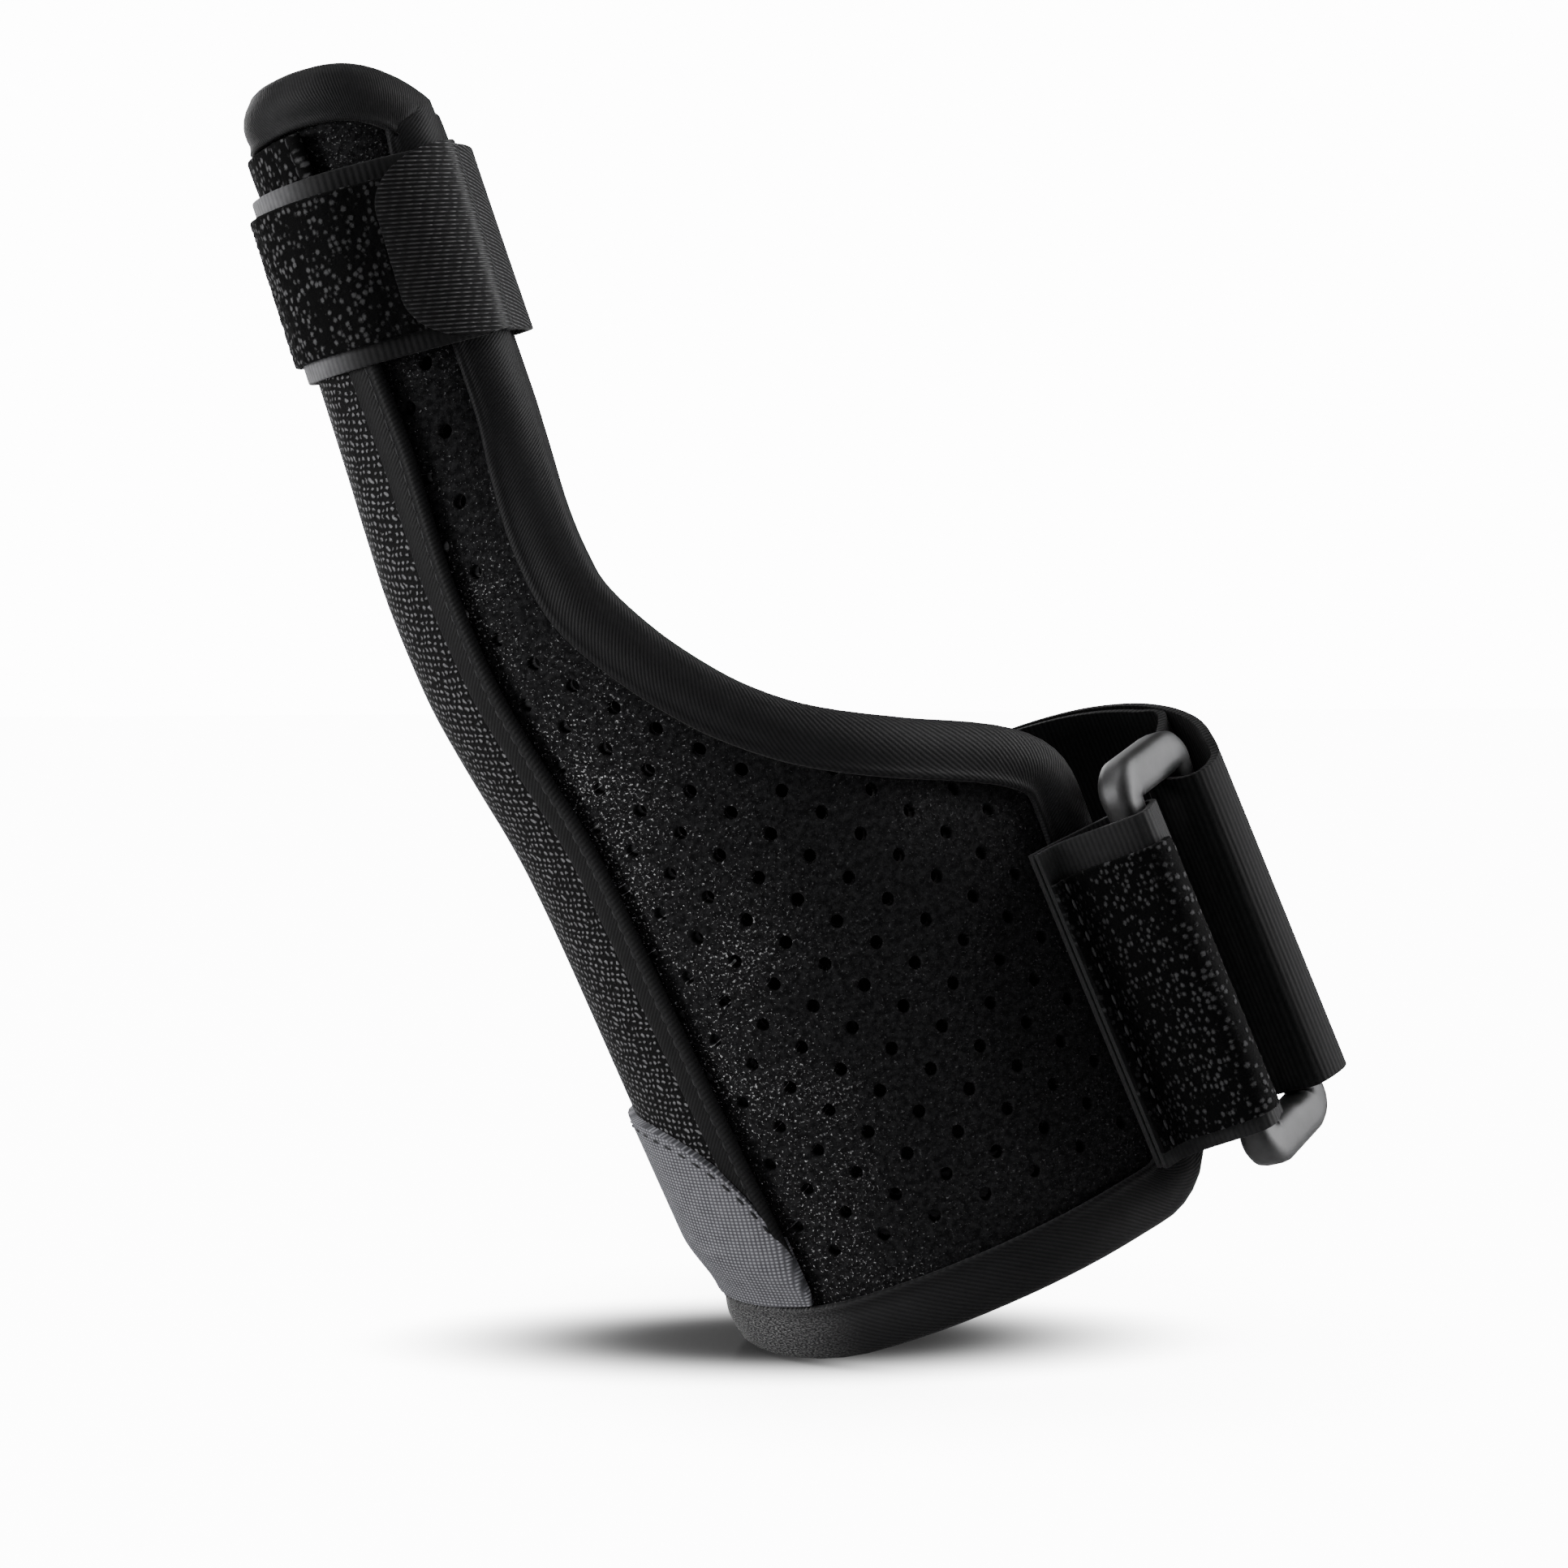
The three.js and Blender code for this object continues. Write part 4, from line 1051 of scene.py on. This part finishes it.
def gunmetal():
    metal = Recipe("gunmetal", Metallic=0.85)
    spot = metal.place()
    worn = metal.noise(spot, 260, 4, 0.6)
    fine = metal.noise(spot, 2400, 2, 0.5)
    metal.set("Base Color", metal.mix(worn, (0.04, 0.04, 0.041), (0.1, 0.1, 0.102)))
    metal.set("Roughness", worn * 0.15 + 0.44)
    metal.bump(worn + fine * 0.3, 0.05 * MM, 0.5)
    return metal.material


ring = finish_cloth("gunmetal_ring", ring_bar_sheet(), 0, [gunmetal()], ["ring_buckle"])


# Ring tab: a short grey band sewn on the cuff's free front side, folded round the ring's near bar and
# back over itself, with a facing of coarse loop pile.
TAB_WIDTH = 46
TAB_DROP = 2
TAB_LENGTH = 9
TAB_SELVAGE = 4.5
TAB_PILE_FROM = 0.58
LAYER_GAP = 0.5


def even_route(points, steps):
    """Points at even distances along a smooth curve through the given ones."""
    dense = []
    for i in range(len(points) - 1):
        before = points[i - 1] if i else points[0] * 2 - points[1]
        after = points[i + 2] if i + 2 < len(points) else points[-1] * 2 - points[-2]
        handle_a = points[i] + (points[i + 1] - before) / 6
        handle_b = points[i + 1] - (after - points[i]) / 6
        bend = interpolate_bezier(points[i], handle_a, handle_b, points[i + 1], 25)
        dense += [Vector(spot[:2]) for spot in (bend if i == 0 else bend[1:])]
    walked = [0]
    for a, b in zip(dense, dense[1:]):
        walked.append(walked[-1] + (b - a).length)
    route = []
    low = 0
    for i in range(steps + 1):
        goal = walked[-1] * i / steps
        while low < len(dense) - 2 and walked[low + 1] < goal:
            low += 1
        share = (goal - walked[low]) / (walked[low + 1] - walked[low])
        route.append(dense[low].lerp(dense[low + 1], share))
    return route, walked[-1]


def offset_route(route, lift):
    moved = []
    for i, point in enumerate(route):
        along = (route[min(i + 1, len(route) - 1)] - route[max(i - 1, 0)]).normalized()
        moved.append(Vector((point.x - along.y * lift, point.y + along.x * lift)))
    return moved


def bar_wrap(side, room, end_angle, steps):
    bar = side * (RING_WIDTH - RING_BAR) / 2
    radius = RING_BEVEL + room
    points = []
    for i in range(steps + 1):
        angle = lerp(-pi / 2, end_angle, i / steps)
        turn = round(sin(angle) * 10)
        flat = (RING_THICKNESS / 2 - RING_BEVEL) * ((turn > 0) - (turn < 0))
        points.append(ring_point(bar - side * (RING_BAR / 2 - RING_BEVEL + radius * cos(angle)),
                                 flat + radius * sin(angle)))
    return points


def cuff_route(across, lift):
    return form_point(across, 0, lift).xy


def route_sheet(route, length, rows, edges_at, lift, relief=lambda along, height: 0):
    """A band that follows a route, moved to the route's left by lift. edges_at gives its lower and
    upper edge at a point of the route."""
    moved = offset_route(route, lift)
    last = len(route) - 1

    def place(share, up):
        n = round(share * last)
        height = lerp(*edges_at(route[n]), up)
        raised = relief(share * length, height)
        spot = moved[n]
        if raised:
            run = (moved[min(n + 1, last)] - moved[max(n - 1, 0)]).normalized()
            spot = spot + Vector((-run.y, run.x)) * raised
        return Vector((spot.x, spot.y, height))

    def pattern(share, up):
        return share * length, lerp(*edges_at(route[round(share * last)]), up)

    return flat_sheet(last, rows, place, pattern)


tab_room = 2 * CLEARANCE + BAND_THICKNESS / 2
sewn_lift = BASE + BINDING_EASE + BINDING_THICKNESS + CLEARANCE + BAND_THICKNESS / 2
return_lift = sewn_lift + BAND_THICKNESS + LAYER_GAP
tab_edge = -reach_at(0)
tab_route, tab_length = even_route([
    cuff_route(tab_edge + TAB_LENGTH, sewn_lift), cuff_route(tab_edge + TAB_LENGTH / 2, sewn_lift),
    *bar_wrap(-1, tab_room, pi / 2, 8),
    ring_point(-RING_WIDTH / 2 - RING_BEVEL, RING_THICKNESS / 2 + tab_room),
    cuff_route(tab_edge + TAB_LENGTH / 2, return_lift + LAYER_GAP),
    cuff_route(tab_edge + TAB_LENGTH, return_lift),
], 120)
tab_bottom, tab_top = -TAB_DROP - TAB_WIDTH / 2, -TAB_DROP + TAB_WIDTH / 2

# Painted shade: the ring tab's band is painted nearly black all over.
tab_band = finish_cloth("ring_tab", route_sheet(
    tab_route, tab_length, 20, lambda point: (tab_bottom, tab_top), 0,
), BAND_THICKNESS, [woven_band("tab_band", -10, 0.92)], ["ring_tab_band"], 0.25)

facing = tab_route[round(len(tab_route) * TAB_PILE_FROM):]
tab_pile = finish_cloth("ring_tab_facing", route_sheet(
    facing, tab_length * len(facing) / len(tab_route), 110,
    lambda point: (tab_bottom + TAB_SELVAGE / 2, tab_top - TAB_SELVAGE),
    BAND_THICKNESS / 2 + CLEARANCE / 2 + PILE_THICKNESS / 2, loop_relief,
), PILE_THICKNESS, [shaded_tab_loop_finish], ["ring_tab_pile"], 0.35)

tab_outside = offset_route(tab_route, BAND_THICKNESS / 2 + CLEARANCE / 2 + PILE_THICKNESS + THREAD_RADIUS)


def tab_spot(share):
    here, under = tab_outside[-5], tab_route[-5]
    height = lerp(tab_bottom + TAB_SELVAGE / 2, tab_top - TAB_SELVAGE, share)
    return Vector((*here, height)), Vector((*(here - under), 0)).normalized()


tab_stitches = stitch_row("tab_stitches", TAB_WIDTH - 1.5 * TAB_SELVAGE, tab_spot)


# Wrist strap: wide ribbed elastic, sewn on the back, round the open side in a loose loop, through the
# ring and back over itself, where its hook end presses on it.
WRIST_STRAP_WIDTH = 50
STRAP_RING_ROOM = 1.4
STRAP_SPREAD_BY = 0.3
STRAP_RISE = 8.6
WRIST_STRAP_THICKNESS = 1.2
WRIST_HOOK_LENGTH = 30
LAP_STEPS = 36
INNER_LAP_START = 12
LAP_FROM_RING = [(0.2, 0.23), (0.37, 0.32)]
LAP_ROUND_BACK = [(1.242, 0.223), (1.231, 0.4225), (1.14, 0.635), (0.94, 0.845), (0.68, 0.975),
                  (0.358, 1.0)]

lap_gap = WRIST_STRAP_THICKNESS + LAYER_GAP
strap_room = 2 * CLEARANCE + WRIST_STRAP_THICKNESS / 2
sewn_out = BASE + BINDING_EASE + BINDING_THICKNESS + CLEARANCE + WRIST_STRAP_THICKNESS / 2
behind_cuff = CUFF_HALF_DEPTH + sewn_out + lap_gap
lap, _ = even_route(
    [ring_point(across * RING_WIDTH, out * RING_WIDTH) for across, out in LAP_FROM_RING]
    + [Vector((side * ring_centre.x, lerp(ring_centre.y, behind_cuff, share)))
       for side, share in LAP_ROUND_BACK], LAP_STEPS)
sewn = [Vector((middle_point(reach_at(0) * share, 0).x, CUFF_HALF_DEPTH + sewn_out))
        for share in (0.42, 0.52)]
inner_lap = offset_route(lap, lap_gap)[INNER_LAP_START:][::-1]
strap_route, strap_length = even_route(
    sewn + inner_lap[::3] + bar_wrap(1, strap_room, 0, 4) + lap[::3], 220)


def ribbed_elastic():
    elastic = Recipe("ribbed_elastic", Roughness=0.75, Specular_IOR_Level=0.08, Sheen_Weight=0.03)
    flat = elastic.pattern()
    along, up = elastic.axes(flat)
    threads = elastic.noise(elastic.stretched(flat, (1.6, 0.12, 1)), 1, 3, 0.6)
    ribs = ridge(elastic, along, 0.75) * 0.5 + threads * 0.8
    elastic.set("Base Color", elastic.mix(ribs, (0.003, 0.003, 0.0032), (0.02, 0.02, 0.0206)))
    elastic.bump(ribs, 0.15 * MM, 0.6)
    return elastic.material


def strap_edges(point):
    """The strap is drawn in a little to pass the ring, and rises towards the back."""
    to_back = (point.y - ring_centre.y) / (behind_cuff - ring_centre.y)
    at_ring = RING_LENGTH / 2 - RING_BAR - STRAP_RING_ROOM
    half = lerp(at_ring, WRIST_STRAP_WIDTH / 2, smooth(to_back / STRAP_SPREAD_BY))
    middle = STRAP_RISE * smooth(to_back) - RING_DROP
    return middle - half, middle + half


elastic_finish = ribbed_elastic()
wrist_strap = finish_cloth("elastic_strap", route_sheet(strap_route, strap_length, 16, strap_edges, 0),
                           WRIST_STRAP_THICKNESS, [elastic_finish], ["wrist_strap"], 0.3)

lap_end = lap[LAP_STEPS]
hook_route, hook_length = even_route(offset_route(
    lap[-3:] + [lap_end - Vector((WRIST_HOOK_LENGTH * share, 0)) for share in (0.5, 1)],
    -WRIST_STRAP_THICKNESS / 2 - CLEARANCE - HOOK_THICKNESS / 2), 24)
wrist_hook = finish_cloth("wrist_hook", route_sheet(hook_route, hook_length, 24, strap_edges, 0),
                          HOOK_THICKNESS, [hook_finish], ["wrist_hook_tab"], 0.25)

hook_outside = offset_route(hook_route, -HOOK_THICKNESS / 2 - THREAD_RADIUS / 2)
for name, station in (("hook_seam_first", 1), ("hook_seam_second", 3)):
    def hook_spot(share):
        here, under = hook_outside[station], hook_route[station]
        low, high = strap_edges(under)
        return Vector((*here, lerp(low + 1, high - 1, share))), Vector((*(here - under), 0)).normalized()

    hook_stitches = stitch_row(name, WRIST_STRAP_WIDTH - 2, hook_spot)


# Floor: a white sheet that the lowest point of the hem stands on, with a painted soft flat shadow under the
# hem. The lens sees it as bright as the studio, and from below it is clear.
FLOOR_TILT = radians(3)
FLOOR_SIZE = 3
CONTACT_REACH = 45 * MM
SHADOW_REACH = 66 * MM
SHADOW_ASIDE = 4 * MM
SHADOW_BEHIND = 8 * MM
SHADOW_SHAPE = Vector((1, 2.2, 1))

floor_up = (picture_up * cos(FLOOR_TILT) - toward_part * sin(FLOOR_TILT)).normalized()
lowest = min((vert.co for vert in binding.data.vertices), key=lambda spot: spot.dot(floor_up))
floor_point = lowest - floor_up * BINDING_THICKNESS * MM
floor_mesh = bpy.data.meshes.new("floor")
floor = new_object("floor", floor_mesh)
bm = bmesh.new()
bmesh.ops.create_grid(bm, x_segments=1, y_segments=1, size=FLOOR_SIZE)
bmesh.ops.transform(bm, verts=bm.verts, matrix=Matrix.Translation(floor_point)
                    @ floor_up.to_track_quat("Z", "Y").to_matrix().to_4x4())
bm.to_mesh(floor_mesh)
bm.free()


def white_floor():
    sheet = Recipe("white_floor", Roughness=0.3)
    tree = sheet.tree
    grain = sheet.noise(sheet.place(), 40)
    sheet.set("Base Color", sheet.mix(grain, (0.5, 0.5, 0.505), (0.53, 0.53, 0.53)))
    # Painted shadow: the floor's glow is darkened near the splint by ambient occlusion, and in a flat round
    # patch under the hem.
    nearness = sheet.node("ShaderNodeAmbientOcclusion", {"samples": 16}, None, CONTACT_REACH, out=1)
    shadow_centre = floor_point + picture_right * SHADOW_ASIDE + toward_part * SHADOW_BEHIND
    away = sheet.node("ShaderNodeVectorMath", {"operation": "DISTANCE"},
                      sheet.stretched(sheet.place(), SHADOW_SHAPE), shadow_centre * SHADOW_SHAPE, out=1)
    opening = sheet.step(away / SHADOW_REACH, -0.2, 1)
    glow = sheet.mix(nearness ** 0.8 * opening ** 6, (0.002, 0.002, 0.002), (1, 1, 1))
    lit = tree.nodes.new("ShaderNodeEmission")
    sheet.put(lit.inputs[0], glow)
    lit.inputs[1].default_value = STUDIO_WHITE
    clear = tree.nodes.new("ShaderNodeBsdfTransparent")
    seen_by_lens = Wire(sheet, tree.nodes.new("ShaderNodeLightPath").outputs["Is Camera Ray"])
    from_below = Wire(sheet, tree.nodes.new("ShaderNodeNewGeometry").outputs["Backfacing"])
    first = tree.nodes.new("ShaderNodeMixShader")
    second = tree.nodes.new("ShaderNodeMixShader")
    sheet.put(first.inputs[0], seen_by_lens * 0.93)
    tree.links.new(sheet.shader.outputs[0], first.inputs[1])
    tree.links.new(lit.outputs[0], first.inputs[2])
    sheet.put(second.inputs[0], from_below)
    tree.links.new(first.outputs[0], second.inputs[1])
    tree.links.new(clear.outputs[0], second.inputs[2])
    tree.links.new(second.outputs[0], tree.nodes["Material Output"].inputs[0])
    return sheet.material


floor_mesh.materials.append(white_floor())
